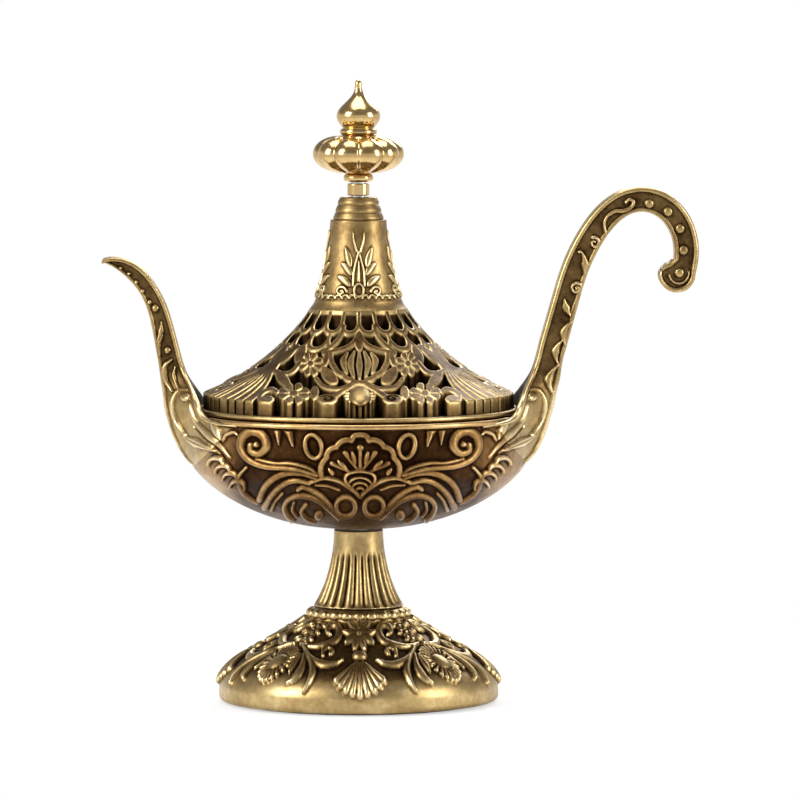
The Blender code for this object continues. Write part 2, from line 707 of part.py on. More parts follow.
def make_handle(cutter):
    base = RIM_Z + SEAT_GAP
    root = ARM_ROOT_RADIUS
    bend = (root + 0.32 * HANDLE_REACH, base + 0.6 * HANDLE_RISE)
    crest = (root + HANDLE_REACH, base + HANDLE_RISE - HANDLE_HALF_WIDTH / 2)
    drop_end = (crest[0] + HANDLE_HOOK_REACH, crest[1] - HANDLE_HOOK_DROP)
    path = bezier(
        (root, base),
        (root + 0.08 * HANDLE_REACH, base + 0.15 * HANDLE_RISE),
        (bend[0] - 0.1 * HANDLE_REACH, bend[1] - 0.18 * HANDLE_RISE),
        bend,
        9,
    )
    path += bezier(
        bend,
        (bend[0] + 0.14 * HANDLE_REACH, bend[1] + 0.18 * HANDLE_RISE),
        (crest[0] - 0.3 * HANDLE_REACH, crest[1]),
        crest,
        9,
    )[1:]
    path += bezier(
        crest,
        (crest[0] + 0.6 * HANDLE_HOOK_REACH, crest[1]),
        (drop_end[0] + 0.1 * HANDLE_HOOK_REACH, drop_end[1] + 0.55 * HANDLE_HOOK_DROP),
        drop_end,
        9,
    )[1:]

    def widths(t):
        return HANDLE_HALF_WIDTH + (ARM_ROOT_HALF_WIDTH - HANDLE_HALF_WIDTH) * root_fall(t, 0.35)

    def depths(t):
        return HANDLE_HALF_DEPTH + (ARM_ROOT_HALF_DEPTH - HANDLE_HALF_DEPTH) * root_fall(t, 0.35)

    def bows(t):
        return mix(ARM_ROOT_BOW, HANDLE_BOW, min(t / 0.25, 1.0))

    handle = arm("handle", path, widths, depths, bows, 1, AGED_BRASS)
    join(handle, scroll_cylinder(drop_end))
    cut(handle, cutter)


def scroll_cylinder(drop_end):
    """The round scroll that ends the handle, a short cylinder along Y."""
    x = drop_end[0] - HANDLE_SCROLL_INSET
    z = drop_end[1] - HANDLE_SCROLL_RADIUS + HANDLE_SCROLL_INSET
    mesh = bpy.data.meshes.new("handle_scroll")
    work = bmesh.new()
    bmesh.ops.create_cone(
        work,
        cap_ends=True,
        segments=SMALL_STEPS,
        radius1=HANDLE_SCROLL_RADIUS,
        radius2=HANDLE_SCROLL_RADIUS,
        depth=2 * (HANDLE_HALF_DEPTH + HANDLE_SCROLL_PROUD),
    )
    work.to_mesh(mesh)
    work.free()
    scroll = add_object("handle_scroll", mesh, AGED_BRASS)
    scroll.rotation_euler = (math.pi / 2, 0.0, 0.0)
    scroll.location = (x, 0.0, z)
    return as_cutter(scroll)


# Incense dish


def dish_floor_z(rod_top):
    """Underside of the dish: clear of the rod and holder nut, and seated on the bowl's inner curve."""
    clear = rod_top + SEAT_GAP + HOLDER_NUT_HEIGHT + HOLDER_TAIL + SEAT_GAP
    seat = BOWL_FLOOR_Z
    for (r0, z0), (r1, z1) in zip(bowl_inner(), bowl_inner()[1:]):
        if r1 <= DISH_FLOOR_RADIUS <= r0:
            seat = z1 + (z0 - z1) * (DISH_FLOOR_RADIUS - r1) / (r0 - r1)
    return max(clear, seat + SEAT_GAP)


def make_dish(rod_top):
    floor = dish_floor_z(rod_top)
    top = floor + DISH_THICKNESS
    lip_z = floor + DISH_RIM_HEIGHT
    bore = HOLDER_SHANK_RADIUS + ROD_CLEARANCE
    seat = radius_at(bowl_inner(), floor) - SEAT_GAP
    lip = min(seat + DISH_RIM_FLARE, radius_at(bowl_inner(), lip_z) - SEAT_GAP)
    profile = [
        (bore, top),
        (seat - DISH_THICKNESS, top),
        (lip - DISH_THICKNESS, lip_z),
        (lip, lip_z),
        (seat, floor),
        (bore, floor),
    ]
    turned("incense_dish", profile, PLAIN_BRASS, MEDIUM_STEPS)
    make_stick_holder(floor, top)


def make_stick_holder(floor, top):
    base = top + SEAT_GAP
    crown = base + HOLDER_HEIGHT
    bore_end = crown - STICK_BORE_DEPTH
    nut_base = floor - SEAT_GAP - HOLDER_NUT_HEIGHT
    tail = nut_base - HOLDER_TAIL
    waist = bezier(
        (HOLDER_TOP_RADIUS, crown),
        (HOLDER_TOP_RADIUS, base + 0.5 * HOLDER_HEIGHT),
        (HOLDER_RADIUS, base + 0.5 * HOLDER_HEIGHT),
        (HOLDER_RADIUS, base),
        6,
    )
    profile = [(0.0, bore_end), (STICK_BORE_RADIUS, bore_end), (STICK_BORE_RADIUS, crown), *waist]
    profile += [(HOLDER_SHANK_RADIUS, base), (HOLDER_SHANK_RADIUS, tail), (0.0, tail)]
    solid_turned("stick_holder", profile, PLAIN_BRASS, SMALL_STEPS)
    bore = HOLDER_SHANK_RADIUS + ROD_CLEARANCE
    hex_nut("holder_nut", HOLDER_NUT_RADIUS, bore, nut_base, HOLDER_NUT_HEIGHT, STEEL)


# Lid


def make_lid_flange():
    spigot = rim_bore() - SPIGOT_CLEARANCE
    bore = min(FLANGE_RADIUS - FLANGE_WIDTH, spigot - SPIGOT_WALL)
    spigot_base = FLANGE_BASE_Z - SEAT_GAP - SPIGOT_DEPTH
    round_centre = (FLANGE_RADIUS - FLANGE_THICKNESS / 2, FLANGE_BASE_Z + FLANGE_THICKNESS / 2)
    profile = [(bore, FLANGE_TOP_Z)]
    profile += arc(round_centre, FLANGE_THICKNESS / 2, 90, -90, 4)
    profile += [(spigot, FLANGE_BASE_Z), (spigot, spigot_base), (spigot - SPIGOT_WALL, spigot_base)]
    if spigot - SPIGOT_WALL > bore:
        profile += [(spigot - SPIGOT_WALL, FLANGE_BASE_Z), (bore, FLANGE_BASE_Z)]
    turned("lid_flange", profile, AGED_BRASS, FINE_STEPS)


def dome_side():
    """Outer face of the dome from the neck's seat down to its outer edge."""
    edge = FLANGE_RADIUS - DOME_EDGE_INSET
    edge_z = DOME_BASE_Z + DOME_EDGE_HEIGHT
    run = edge - DOME_TOP_RADIUS
    rise = DOME_TOP_Z - edge_z
    return bezier(
        (DOME_TOP_RADIUS, DOME_TOP_Z),
        (DOME_TOP_RADIUS + 0.10 * run, DOME_TOP_Z - 0.23 * rise),
        (DOME_TOP_RADIUS + 0.48 * run, edge_z + 0.25 * rise),
        (edge, edge_z),
        DOME_SIDE_POINTS,
    )


def make_lid_dome():
    side = dome_side()
    edge = side[-1][0]
    bore = FLANGE_RADIUS - FLANGE_WIDTH
    inner = [(r, z) for r, z in offset(side, DOME_THICKNESS) if r < bore and z > DOME_BASE_Z]
    top_bore = inner[0][0]
    profile = [(top_bore, DOME_TOP_Z), *side, (edge, DOME_BASE_Z), (inner[-1][0], DOME_BASE_Z)]
    profile += list(reversed(inner[:-1]))
    dome = turned("lid_dome", profile, AGED_BRASS, FINE_STEPS)
    cut(dome, piercing_cutter())


def lid_openings():
    """Angle, radius, half length and half width of each opening in the dome. One motif faces the front."""
    front = -math.pi / 2
    for i in range(ARCH_COUNT):
        yield front + math.tau * (i + 0.5) / ARCH_COUNT, *ARCH_OPENING
    for i in range(MOTIF_COUNT):
        for degrees, *size in MOTIF_OPENINGS:
            for side in (-1, 1):
                yield front + math.tau * i / MOTIF_COUNT + side * math.radians(degrees), *size


def piercing_cutter():
    """Upright oval prisms, which pierce the dome as a die with a vertical draw does."""
    mesh = bpy.data.meshes.new("piercing_cutter")
    work = bmesh.new()
    height = DOME_HEIGHT + 2 * DOME_THICKNESS
    middle = DOME_BASE_Z - DOME_THICKNESS + height / 2
    for angle, radius, half_length, half_width in lid_openings():
        made = bmesh.ops.create_cone(
            work, cap_ends=True, segments=OPENING_SIDES, radius1=1.0, radius2=1.0, depth=height
        )
        for v in made["verts"]:
            along = radius + v.co.x * half_length
            across = v.co.y * half_width
            x = along * math.cos(angle) - across * math.sin(angle)
            y = along * math.sin(angle) + across * math.cos(angle)
            v.co = Vector((x, y, middle + v.co.z))
    work.to_mesh(mesh)
    work.free()
    return as_cutter(add_object("piercing_cutter", mesh, AGED_BRASS))


def make_lid_neck():
    band_top = NECK_BASE_Z + NECK_BAND_HEIGHT
    steps_base = NECK_TOP_Z - NECK_STEP_ZONE
    run = DOME_TOP_RADIUS - NECK_WAIST_RADIUS
    rise = steps_base - band_top
    side = bezier(
        (NECK_WAIST_RADIUS, steps_base),
        (NECK_WAIST_RADIUS + 0.12 * run, steps_base - 0.4 * rise),
        (NECK_WAIST_RADIUS + 0.45 * run, band_top + 0.25 * rise),
        (DOME_TOP_RADIUS - 0.1 * run, band_top),
    )
    profile = [(STUD_RADIUS + ROD_CLEARANCE, NECK_TOP_Z)]
    profile += neck_steps(steps_base)
    profile += side
    profile += [(DOME_TOP_RADIUS, NECK_BASE_Z)]
    inner = [(r, z) for r, z in offset(side, NECK_WALL)]
    roof = NECK_TOP_Z - NECK_TOP_WALL
    shaft = FINIAL_WASHER_RADIUS + ROD_CLEARANCE
    profile += [(inner[-1][0], NECK_BASE_Z)]
    profile += [(max(r, shaft), z) for r, z in reversed(inner) if z > NECK_BASE_Z + NECK_WALL]
    profile += [(shaft, roof), (STUD_RADIUS + ROD_CLEARANCE, roof)]
    turned("lid_neck", profile, AGED_BRASS, MEDIUM_STEPS)
    return roof


def neck_steps(steps_base):
    """Stepped rings between the neck's waist and its flat top, listed downwards."""
    points = []
    tread = (NECK_WAIST_RADIUS - NECK_TOP_RADIUS) / (NECK_STEPS + 1)
    riser = NECK_STEP_ZONE / NECK_STEPS
    for i in range(NECK_STEPS):
        top = NECK_TOP_Z - i * riser
        radius = NECK_TOP_RADIUS + i * tread
        base = top - riser
        points += [(radius, top), (radius + tread, base + NECK_STEP_CHAMFER), (radius + tread, base)]
    return points


# Finial


def knob_profile():
    """The knob from its tip down to its collar: a pointed bud on a ring on a squat bulb."""
    collar_top = KNOB_BASE_Z + KNOB_COLLAR_HEIGHT
    bulb_top = collar_top + KNOB_BULB_HEIGHT
    ring_top = bulb_top + KNOB_RING_HEIGHT
    tip = KNOB_BASE_Z + KNOB_HEIGHT
    bud = tip - ring_top
    waist = 0.72 * KNOB_RING_RADIUS
    profile = [(0.0, tip), (KNOB_TIP_RADIUS, tip - KNOB_TIP_RADIUS)]
    profile += bezier(
        (KNOB_TIP_RADIUS, tip - 2 * KNOB_TIP_RADIUS),
        (KNOB_TIP_RADIUS, tip - 0.5 * bud),
        (1.55 * KNOB_BUD_RADIUS, ring_top + 0.42 * bud),
        (waist, ring_top),
    )
    ring_round = min(KNOB_RING_HEIGHT / 2, KNOB_RING_RADIUS - waist)
    profile += arc((waist, ring_top - KNOB_RING_HEIGHT / 2), ring_round, 60, -60, 4)
    profile += bezier(
        (waist, bulb_top),
        (1.28 * KNOB_BULB_RADIUS, bulb_top),
        (1.28 * KNOB_BULB_RADIUS, collar_top),
        (FERRULE_RADIUS, collar_top),
        9,
    )
    collar_centre = (KNOB_COLLAR_RADIUS - KNOB_COLLAR_HEIGHT / 2, KNOB_BASE_Z + KNOB_COLLAR_HEIGHT / 2)
    profile += arc(collar_centre, KNOB_COLLAR_HEIGHT / 2, 60, -90, 4)
    return profile


def make_finial(neck_roof):
    bore = STUD_RADIUS + ROD_CLEARANCE
    stud_top = KNOB_BASE_Z + STUD_DEPTH_IN_KNOB
    bore_top = stud_top + ROD_CLEARANCE
    profile = knob_profile() + [(bore, KNOB_BASE_Z), (bore, bore_top), (0.0, bore_top)]
    knob = solid_turned("finial_knob", profile, GOLD, 3 * KNOB_LOBES)
    collar_top = KNOB_BASE_Z + KNOB_COLLAR_HEIGHT
    bulb_top = collar_top + KNOB_BULB_HEIGHT
    for v in freeze(knob).vertices:
        r = math.hypot(v.co.x, v.co.y)
        if not collar_top < v.co.z < bulb_top or r < KNOB_COLLAR_RADIUS:
            continue
        wave = math.cos(KNOB_LOBES * math.atan2(v.co.y, v.co.x))
        scale = 1 - KNOB_LOBE_DEPTH * max(0.0, wave) / r
        v.co.x *= scale
        v.co.y *= scale
    ring("finial_ferrule", FERRULE_RADIUS, bore, FERRULE_BASE_Z, FERRULE_HEIGHT, GOLD)
    washer_base = neck_roof - SEAT_GAP - FINIAL_WASHER_THICKNESS
    nut_base = washer_base - SEAT_GAP - FINIAL_NUT_HEIGHT
    ring("finial_washer", FINIAL_WASHER_RADIUS, bore, washer_base, FINIAL_WASHER_THICKNESS, STEEL)
    hex_nut("finial_nut", FINIAL_NUT_RADIUS, bore, nut_base, FINIAL_NUT_HEIGHT, STEEL)
    tail = nut_base - STUD_TAIL
    stud = [(0.0, stud_top), (STUD_RADIUS, stud_top), (STUD_RADIUS, tail), (0.0, tail)]
    solid_turned("finial_stud", stud, STEEL, SMALL_STEPS)


def main():
    clear_scene()
    make_base_pad()
    foot_roof = make_foot()
    make_stem()
    make_bowl()
    rod_top = make_tie_rod(foot_roof)
    lid_path = lid_path_cutter()
    make_spout(lid_path)
    make_handle(lid_path)
    make_dish(rod_top)
    make_lid_flange()
    make_lid_dome()
    make_finial(make_lid_neck())


main()
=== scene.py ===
"""Looks of the lamp-shaped incense burner: cast relief, pierced lid, aged brass and studio light.

Sizes are in millimetres, in the frame of the solids, and become metres where a mesh is made.
The front of the burner faces -Y. Angles round the axis start at the front and grow towards +X.
"""

import json
from math import atan, cos, pi, radians, sin, tan, tau

import bpy
import numpy as np
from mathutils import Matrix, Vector


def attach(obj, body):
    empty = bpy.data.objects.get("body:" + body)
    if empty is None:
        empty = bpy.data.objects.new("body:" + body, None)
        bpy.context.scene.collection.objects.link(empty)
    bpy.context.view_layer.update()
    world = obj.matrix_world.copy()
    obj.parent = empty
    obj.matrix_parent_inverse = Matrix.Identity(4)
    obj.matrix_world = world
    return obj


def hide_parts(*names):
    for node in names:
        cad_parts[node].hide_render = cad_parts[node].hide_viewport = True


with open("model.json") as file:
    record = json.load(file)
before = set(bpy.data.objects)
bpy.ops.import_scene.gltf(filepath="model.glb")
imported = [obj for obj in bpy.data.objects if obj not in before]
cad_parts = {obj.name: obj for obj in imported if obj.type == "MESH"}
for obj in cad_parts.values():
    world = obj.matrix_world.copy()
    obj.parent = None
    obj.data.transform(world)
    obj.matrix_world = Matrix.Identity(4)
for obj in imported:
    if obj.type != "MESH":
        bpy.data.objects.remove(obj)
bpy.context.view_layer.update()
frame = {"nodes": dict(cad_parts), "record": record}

MM = 0.001
FAR = 50.0
TINY = 1e-9

# Heights and radii that the solids set
PAD_PROUD = 0.4
ROD_HOLE = 2.4
FOOT_RADIUS = 28.0
FOOT_TOP = 19.0
FOOT_COLLAR = (9.8, 17.1)
STEM_BASE = 19.3
STEM_TOP = 34.5
BOWL_BASE = 34.8
BOWL_FLOOR = 36.6
BOWL_WALL = 1.8
BOWL_BELLY = (32.5, 46.1)
RIM = 57.8
RIM_RADIUS = 33.3
RIM_BORE = 31.5
PROW_REACH = 5.7
PROW_START = 10.0
DISH_TOP = 45.4
DISH_BASE = 44.4
DISH_HOLE = 1.8
FLANGE_BORE = 28.5
FLANGE_BASE = 58.1
FLANGE_TOP = 59.1
SPIGOT_DEPTH = 2.2
DOME_BASE = 59.4
DOME_EDGE = 31.1
DOME_EDGE_TOP = 62.0
DOME_TOP = 78.8
DOME_TOP_RADIUS = 9.8
NECK_BASE = 79.1
NECK_TOP = 101.1
NECK_WAIST = 5.6
STUD_HOLE = 1.7
FERRULE_BASE = 101.4
FERRULE_TOP = 103.8
KNOB_BASE = 104.1
KNOB_TIP = 124.5

# Openwork of the lid. LID_SWEEP is the radius that the turning lid needs
LID_SWEEP = 33.1
LID_FULLNESS = 0.08
LID_WALL = 3.6
LIP_FALL, LIP_WIDTH = 0.22, 0.25
LID_SIDES = 3
LID_ARCHES = 21
BUTTON_SEEN = 60.3
BUTTON_RADIUS = 2.15
BUTTON_CENTRE = (28.6, 63.15)
BUTTON_STRETCH = 1.7
BUTTON_RISE = 1.15
VOLUTE = (6.55, 59.35)
FLOWERS = (((9.7, 67.0), 2.5, 2.4), ((13.1, 60.75), 3.2, 2.35))

# Outer and inner edge of an arm's root, as distance from the axis and height: the outer one climbs the
# bowl's prow, and the inner one leaves the rim. The handle leans out more than the spout
ROOT_OUTER = (
    (32.6, 46.4), (35.0, 49.4), (36.9, 53.0), (38.2, 57.0), (38.95, 61.0), (39.5, 64.5), (40.0, 68.2),
)
ROOT_INNER = (
    (23.6, 57.2), (27.6, 57.5), (30.0, 58.3), (31.3, 60.4), (32.7, 62.9), (34.1, 65.3), (35.2, 68.2),
)
ROOT_BLEND = (59.5, 68.0)
ARM_START = (34.6, 55.5)
HANDLE_LEAN = 0.8
PANEL_DEPTH = 0.55
SCROLL_CENTRE = (63.7, 85.5)
SCROLL_RADIUS = 3.5

# Tones of the plain surfaces, from 0 for dark patina to 1 for bright metal; the lid's lips, walls and flange
# hold painted highlight and shade, and the bowl's flank a painted reflection
FOOT_TONE, FOOT_RIM_TONE = 0.35, 0.41
STEM_TONE = 0.24
BOWL_TONE, BOWL_FLANK_SHEEN_TONE, BOWL_CREST_TONE = 0.2, 0.42, 0.48
RIM_TONE = 0.8
INSIDE_TONE = 0.35
ARM_TONE, ARM_EDGE_TONE, ARM_CREST_TONE = 0.38, 0.84, 0.92
LID_TONE, LIP_HIGHLIGHT_TONE, LID_WALL_SHADE_TONE, LID_UNDER_TONE = 0.34, 0.6, 0.16, 0.14
BUTTON_TONE = 0.66
FLANGE_SHADOW_TONE, FLANGE_EDGE_TONE = 0.12, 0.68
NECK_TONE = 0.62

# View of the photograph: where the camera stands, how wide the picture is at the object's axis, and the
# height that ornament read from the picture has at its middle
VIEW_ELEVATION = radians(4.1)
VIEW_AZIMUTH = radians(-0.9)
VIEW_DISTANCE = 1343.0
VIEW_WIDTH = 160.0
VIEW_TARGET = (8.3, 0.0, 60.45)
VIEW_MIDDLE = 59.6
SENSOR_WIDTH = 36.0


# Curves and profiles


def bezier(p0, p1, p2, p3, count):
    t = np.linspace(0.0, 1.0, count + 1)[:, None]
    s = 1.0 - t
    p0, p1, p2, p3 = (np.array(p, float) for p in (p0, p1, p2, p3))
    return s**3 * p0 + 3 * s * s * t * p1 + 3 * s * t * t * p2 + t**3 * p3


def arc(centre, radius, start_deg, end_deg, count):
    a = np.radians(np.linspace(start_deg, end_deg, count + 1))
    return np.stack([centre[0] + radius * np.cos(a), centre[1] + radius * np.sin(a)], 1)


def joined(*pieces):
    """Polylines joined end to end, with repeated points left out."""
    points = np.concatenate([np.asarray(p, float).reshape(-1, 2) for p in pieces])
    keep = np.ones(len(points), bool)
    keep[1:] = np.linalg.norm(np.diff(points, axis=0), axis=1) > 1e-6
    return points[keep]


def curve(*points):
    """A smooth curve through the points."""
    p = np.array(points, float)
    p = np.concatenate([[2 * p[0] - p[1]], p, [2 * p[-1] - p[-2]]])
    t = np.linspace(0.0, 1.0, 7)[:-1, None]
    parts = []
    for a, b, c, d in zip(p, p[1:], p[2:], p[3:]):
        parts.append(b + 0.5 * t * (c - a + t * (2 * a - 5 * b + 4 * c - d + t * (3 * (b - c) + d - a))))
    return np.concatenate([*parts, p[-2:-1]])


def bowed(base, tip, bend, count=14):
    """A curve from base to tip whose middle is moved sideways by bend."""
    base, tip = np.array(base, float), np.array(tip, float)
    along = tip - base
    side = np.array([-along[1], along[0]]) / max(np.linalg.norm(along), TINY)
    middle = (base + tip) / 2 + side * bend * 2
    t = np.linspace(0.0, 1.0, count)[:, None]
    return (1 - t) ** 2 * base + 2 * t * (1 - t) * middle + t * t * tip


def tapered(path, start, middle, end):
    """Half widths for a path: start and end at its ends, middle halfway."""
    return np.interp(np.linspace(0.0, 1.0, len(path)), (0.0, 0.5, 1.0), (start, middle, end))


def run_length(points):
    """Distance along a polyline at each of its points."""
    return np.concatenate([[0.0], np.cumsum(np.linalg.norm(np.diff(points, axis=0), axis=1))])


def placed(points, length, count):
    """Points at count evenly spaced places along a polyline, where length is the distance at each point."""
    at = np.linspace(0.0, length[-1], count)
    return np.stack([np.interp(at, length, points[:, k]) for k in (0, 1)], 1)


def resampled(points, count):
    """The polyline as count evenly spaced points."""
    return placed(points, run_length(points), count)


def tangents(points):
    """Unit vectors along a polyline."""
    along = np.gradient(points, axis=0)
    return along / np.linalg.norm(along, axis=1)[:, None]


def smooth_step(x, start=0.0, run=1.0):
    """Nought up to start, one from start + run on, and smooth between. A negative run goes the other way."""
    x = np.clip((x - start) / run, 0.0, 1.0)
    return x * x * (3.0 - 2.0 * x)


# Relief: strokes, domes and scrolls drawn on a field of points


class Relief:
    """Heights over a grid of flat points. Each motif raises the points that it covers.

    height is the relief in millimetres, and edge is the distance outside the nearest motif, negative inside.
    """

    def __init__(self, x, y):
        self.shape = x.shape
        self.points = np.stack([x, y], -1).reshape(-1, 2)
        self.height = np.zeros(len(self.points))
        self.edge = np.full(len(self.points), FAR)

    def grid(self):
        """The heights in the shape of the grid."""
        return self.height.reshape(self.shape)

    def near(self, low, high, reach):
        p = self.points
        inside = (p[:, 0] > low[0] - reach) & (p[:, 0] < high[0] + reach)
        inside &= (p[:, 1] > low[1] - reach) & (p[:, 1] < high[1] + reach)
        return np.nonzero(inside)[0]

    def stroke(self, path, half_width, height, crown=0.5):
        """A raised line along a path. half_width is one value or one for each point of the path."""
        path = np.asarray(path, float)
        widths = np.broadcast_to(np.asarray(half_width, float), (len(path),))
        at = self.near(path.min(0), path.max(0), widths.max() + 1.0)
        if not len(at):
            return
        p = self.points[at]
        best = np.full(len(at), FAR)
        ratio = np.full(len(at), FAR)
        for i in range(len(path) - 1):
            along = path[i + 1] - path[i]
            share = np.clip(((p - path[i]) @ along) / max(along @ along, TINY), 0.0, 1.0)
            away = np.linalg.norm(p - path[i] - share[:, None] * along, axis=1)
            width = widths[i] + (widths[i + 1] - widths[i]) * share
            best = np.minimum(best, away - width)
            ratio = np.minimum(ratio, away / np.maximum(width, 1e-3))
        self.edge[at] = np.minimum(self.edge[at], best)
        swell = np.clip(1.0 - ratio * ratio, 0.0, 1.0) ** crown
        self.height[at] = np.maximum(self.height[at], height * swell)

    def lines(self, height, *rows, crown=0.5):
        """Raised curves of one height. Each row is a half width and the points that the curve goes through.

        A half width of three values tapers from start to middle to end.
        """
        for half_width, *points in rows:
            path = curve(*points)
            if isinstance(half_width, tuple):
                half_width = tapered(path, *half_width)
            self.stroke(path, half_width, height, crown)

    def groove(self, path, half_width, depth):
        """A sunk line along a path, cut into what is already there."""
        before = self.height.copy()
        edge = self.edge.copy()
        self.height[:] = 0.0
        self.stroke(path, half_width, depth)
        self.height = before - self.height
        self.edge = edge

    def dome(self, centre, radius, height, stretch=1.0, turn=0.0, crown=0.5):
        """A round or oval boss."""
        centre = np.array(centre, float)
        at = self.near(centre, centre, radius * max(stretch, 1.0) + 1.0)
        d = self.points[at] - centre
        c, s = cos(turn), sin(turn)
        along = (d[:, 0] * c + d[:, 1] * s) / (radius * stretch)
        across = (-d[:, 0] * s + d[:, 1] * c) / radius
        q = np.hypot(along, across)
        self.edge[at] = np.minimum(self.edge[at], (q - 1.0) * radius)
        self.height[at] = np.maximum(self.height[at], height * np.clip(1.0 - q * q, 0.0, 1.0) ** crown)

    def ring(self, centre, radius, half_width, height, stretch=1.0, turn=0.0):
        a = np.linspace(0.0, tau, 33)
        x, y = radius * stretch * np.cos(a), radius * np.sin(a)
        c, s = cos(turn), sin(turn)
        path = np.stack([centre[0] + x * c - y * s, centre[1] + x * s + y * c], 1)
        self.stroke(path, half_width, height)

    def scroll(self, centre, radius, start, turns, half_width, height, eye=0.0):
        """A volute that winds in from radius, from the angle start. Positive turns wind anticlockwise."""
        t = np.linspace(0.0, 1.0, 40)
        a = start + tau * turns * t
        r = radius * (1.0 - 0.82 * t)
        path = np.stack([centre[0] + r * np.cos(a), centre[1] + r * np.sin(a)], 1)
        self.stroke(path, half_width * (1.0 - 0.45 * t), height)
        if eye:
            self.dome(centre, eye, height * 1.15)

    def leaf(self, base, tip, half_width, height, bend=0.0):
        """A pointed leaf from base to tip, bowed sideways by bend."""
        path = bowed(base, tip, bend)
        t = np.linspace(0.0, 1.0, len(path))
        self.stroke(path, half_width * np.sin(pi * t**0.8) ** 0.75 + 0.08, height)


# Meshes


def linked(name, data):
    """An object in the scene with this data."""
    obj = bpy.data.objects.new(name, data)
    bpy.context.scene.collection.objects.link(obj)
    return obj


def new_object(name, vertices, faces, values):
    """A smooth mesh object: vertices in millimetres, arrays of faces, and for each vertex one value of wear
    and painted light.
    """
    mesh = bpy.data.meshes.new(name)
    mesh.vertices.add(len(vertices))
    mesh.vertices.foreach_set("co", (np.asarray(vertices, np.float64) * MM).astype(np.float32).ravel())
    groups = [np.asarray(f, np.int32) for f in faces]
    corners = np.concatenate([np.full(len(f), f.shape[1], np.int32) for f in groups])
    mesh.loops.add(int(corners.sum()))
    mesh.loops.foreach_set("vertex_index", np.concatenate([f.ravel() for f in groups]))
    mesh.polygons.add(len(corners))
    mesh.polygons.foreach_set("loop_start", (np.cumsum(corners) - corners).astype(np.int32))
    mesh.update(calc_edges=True)
    mesh.polygons.foreach_set("use_smooth", np.full(len(corners), True))
    wear_and_painted_light = mesh.attributes.new("wear_and_painted_light", "FLOAT", "POINT")
    wear_and_painted_light.data.foreach_set("value", np.asarray(values, np.float32).ravel())
    mesh.validate()
    return linked(name, mesh)


def grid_faces(rows, columns, looped=False):
    """Quads of a grid round an axis, row by row. A looped grid joins its last row to its first."""
    i = np.arange(rows if looped else rows - 1)[:, None]
    j = np.arange(columns)[None, :]
    below = (i + 1) % rows
    k = (j + 1) % columns
    quads = np.stack([i * columns + j, below * columns + j, below * columns + k, i * columns + k], -1)
    return quads.reshape(-1, 4)


def end_cap(loop):
    """Faces that close a loop of points: a strip between its two halves, and a triangle where they meet."""
    mate = loop[::-1]
    half = len(loop) // 2
    strip = np.stack([loop[: half - 1], loop[1:half], mate[1:half], mate[: half - 1]], 1)
    return [strip, loop[None, half - 1 : half + 2]]


def root_cap(outer, inner):
    """Triangles between two lines of points that share both ends, of which the outer one has more points."""
    step = np.round(np.arange(len(outer)) * (len(inner) - 1) / (len(outer) - 1)).astype(int)
    near, far = inner[step[:-1]], inner[step[1:]]
    sides = np.stack([outer[:-1], outer[1:], near], 1), np.stack([outer[1:], far, near], 1)
    triangles = np.concatenate(sides)
    a, b, c = triangles.T
    return triangles[(a != b) & (b != c) & (a != c)]


def hollow_shade(height, reach):
    """How far each point of a grid of heights stands above what is around it, negative in a hollow."""
    around = height.copy()
    for _ in range(reach):
        around = (np.roll(around, 1, 1) + np.roll(around, -1, 1) + 2 * around) / 4
        padded = np.pad(around, ((1, 1), (0, 0)), mode="edge")
        around = (padded[:-2] + padded[2:] + 2 * around) / 4
    return height - around


def shade_of(height, ground, raised=0.72, contrast=1.0):
    """Wear and painted light of a relief: ground on the plain surface, bright on crests as wear and painted
    highlight, dark in hollows beside them as patina and painted shade.
    """
    top = max(height.max(), 1e-3)
    crest = hollow_shade(height, 8) / top
    fine = hollow_shade(height, 2) / top
    level = ground + (raised - ground) * np.clip(height / top, 0, 1)
    return np.clip(level + contrast * (crest + 0.9 * fine), 0.0, 1.0)


def angles(columns):
    return np.arange(columns) * tau / columns


def round_axis(r, angle, z):
    """Points at radius r and height z, at angles round the axis."""
    return np.stack([r * np.sin(angle), -r * np.cos(angle), z + 0 * angle], -1)


def outward(profile):
    """Unit vectors away from a turned surface whose profile runs downwards."""
    along = tangents(profile)
    return np.stack([-along[:, 1], along[:, 0]], 1)


def turned_piece(name, profile, rows, columns, relief=None, ground=0.5):
    """A turned surface. relief(angle, radius, z) gives its heights along the normal, and ground the tone of
    its plain surface, on the flange a painted shadow.
    """
    profile = resampled(profile, rows)
    angle, normal = angles(columns), outward(profile)
    radius, z = profile[:, :1], profile[:, 1:]
    height = np.zeros((rows, columns)) if relief is None else relief(angle, radius, z)
    values = shade_of(height - height.min(), ground(angle, radius, z) if callable(ground) else ground)
    place = round_axis(radius + normal[:, :1] * height, angle, z + normal[:, 1:] * height)
    faces = [grid_faces(rows, columns, looped=True)]
    return new_object(name, place.reshape(-1, 3), faces, values)


def in_view(across, front, z):
    """Where a point appears in the photograph: across and up, in millimetres on the plane of the axis.

    front is how far the point stands before that plane.
    """
    level, tilt = cos(VIEW_ELEVATION), sin(VIEW_ELEVATION)
    up = z - VIEW_TARGET[2]
    scale = VIEW_DISTANCE / (VIEW_DISTANCE - front * level - up * tilt)
    return across * scale, VIEW_MIDDLE + scale * (up * level - front * tilt)


def folded(angle, count):
    """The angle measured from the nearest of count evenly spaced axes."""
    step = tau / count
    return angle - np.round(angle / step) * step


def seen_from_front(angle, r, z, count):
    """Where points round the axis appear to a viewer who faces the nearest of count evenly spaced sides.

    Returns the distance from the middle of that side, and the height in view.
    """
    turn = folded(angle, count)
    return in_view(r * np.sin(np.abs(turn)), r * np.cos(turn), z)


# Foot and stem


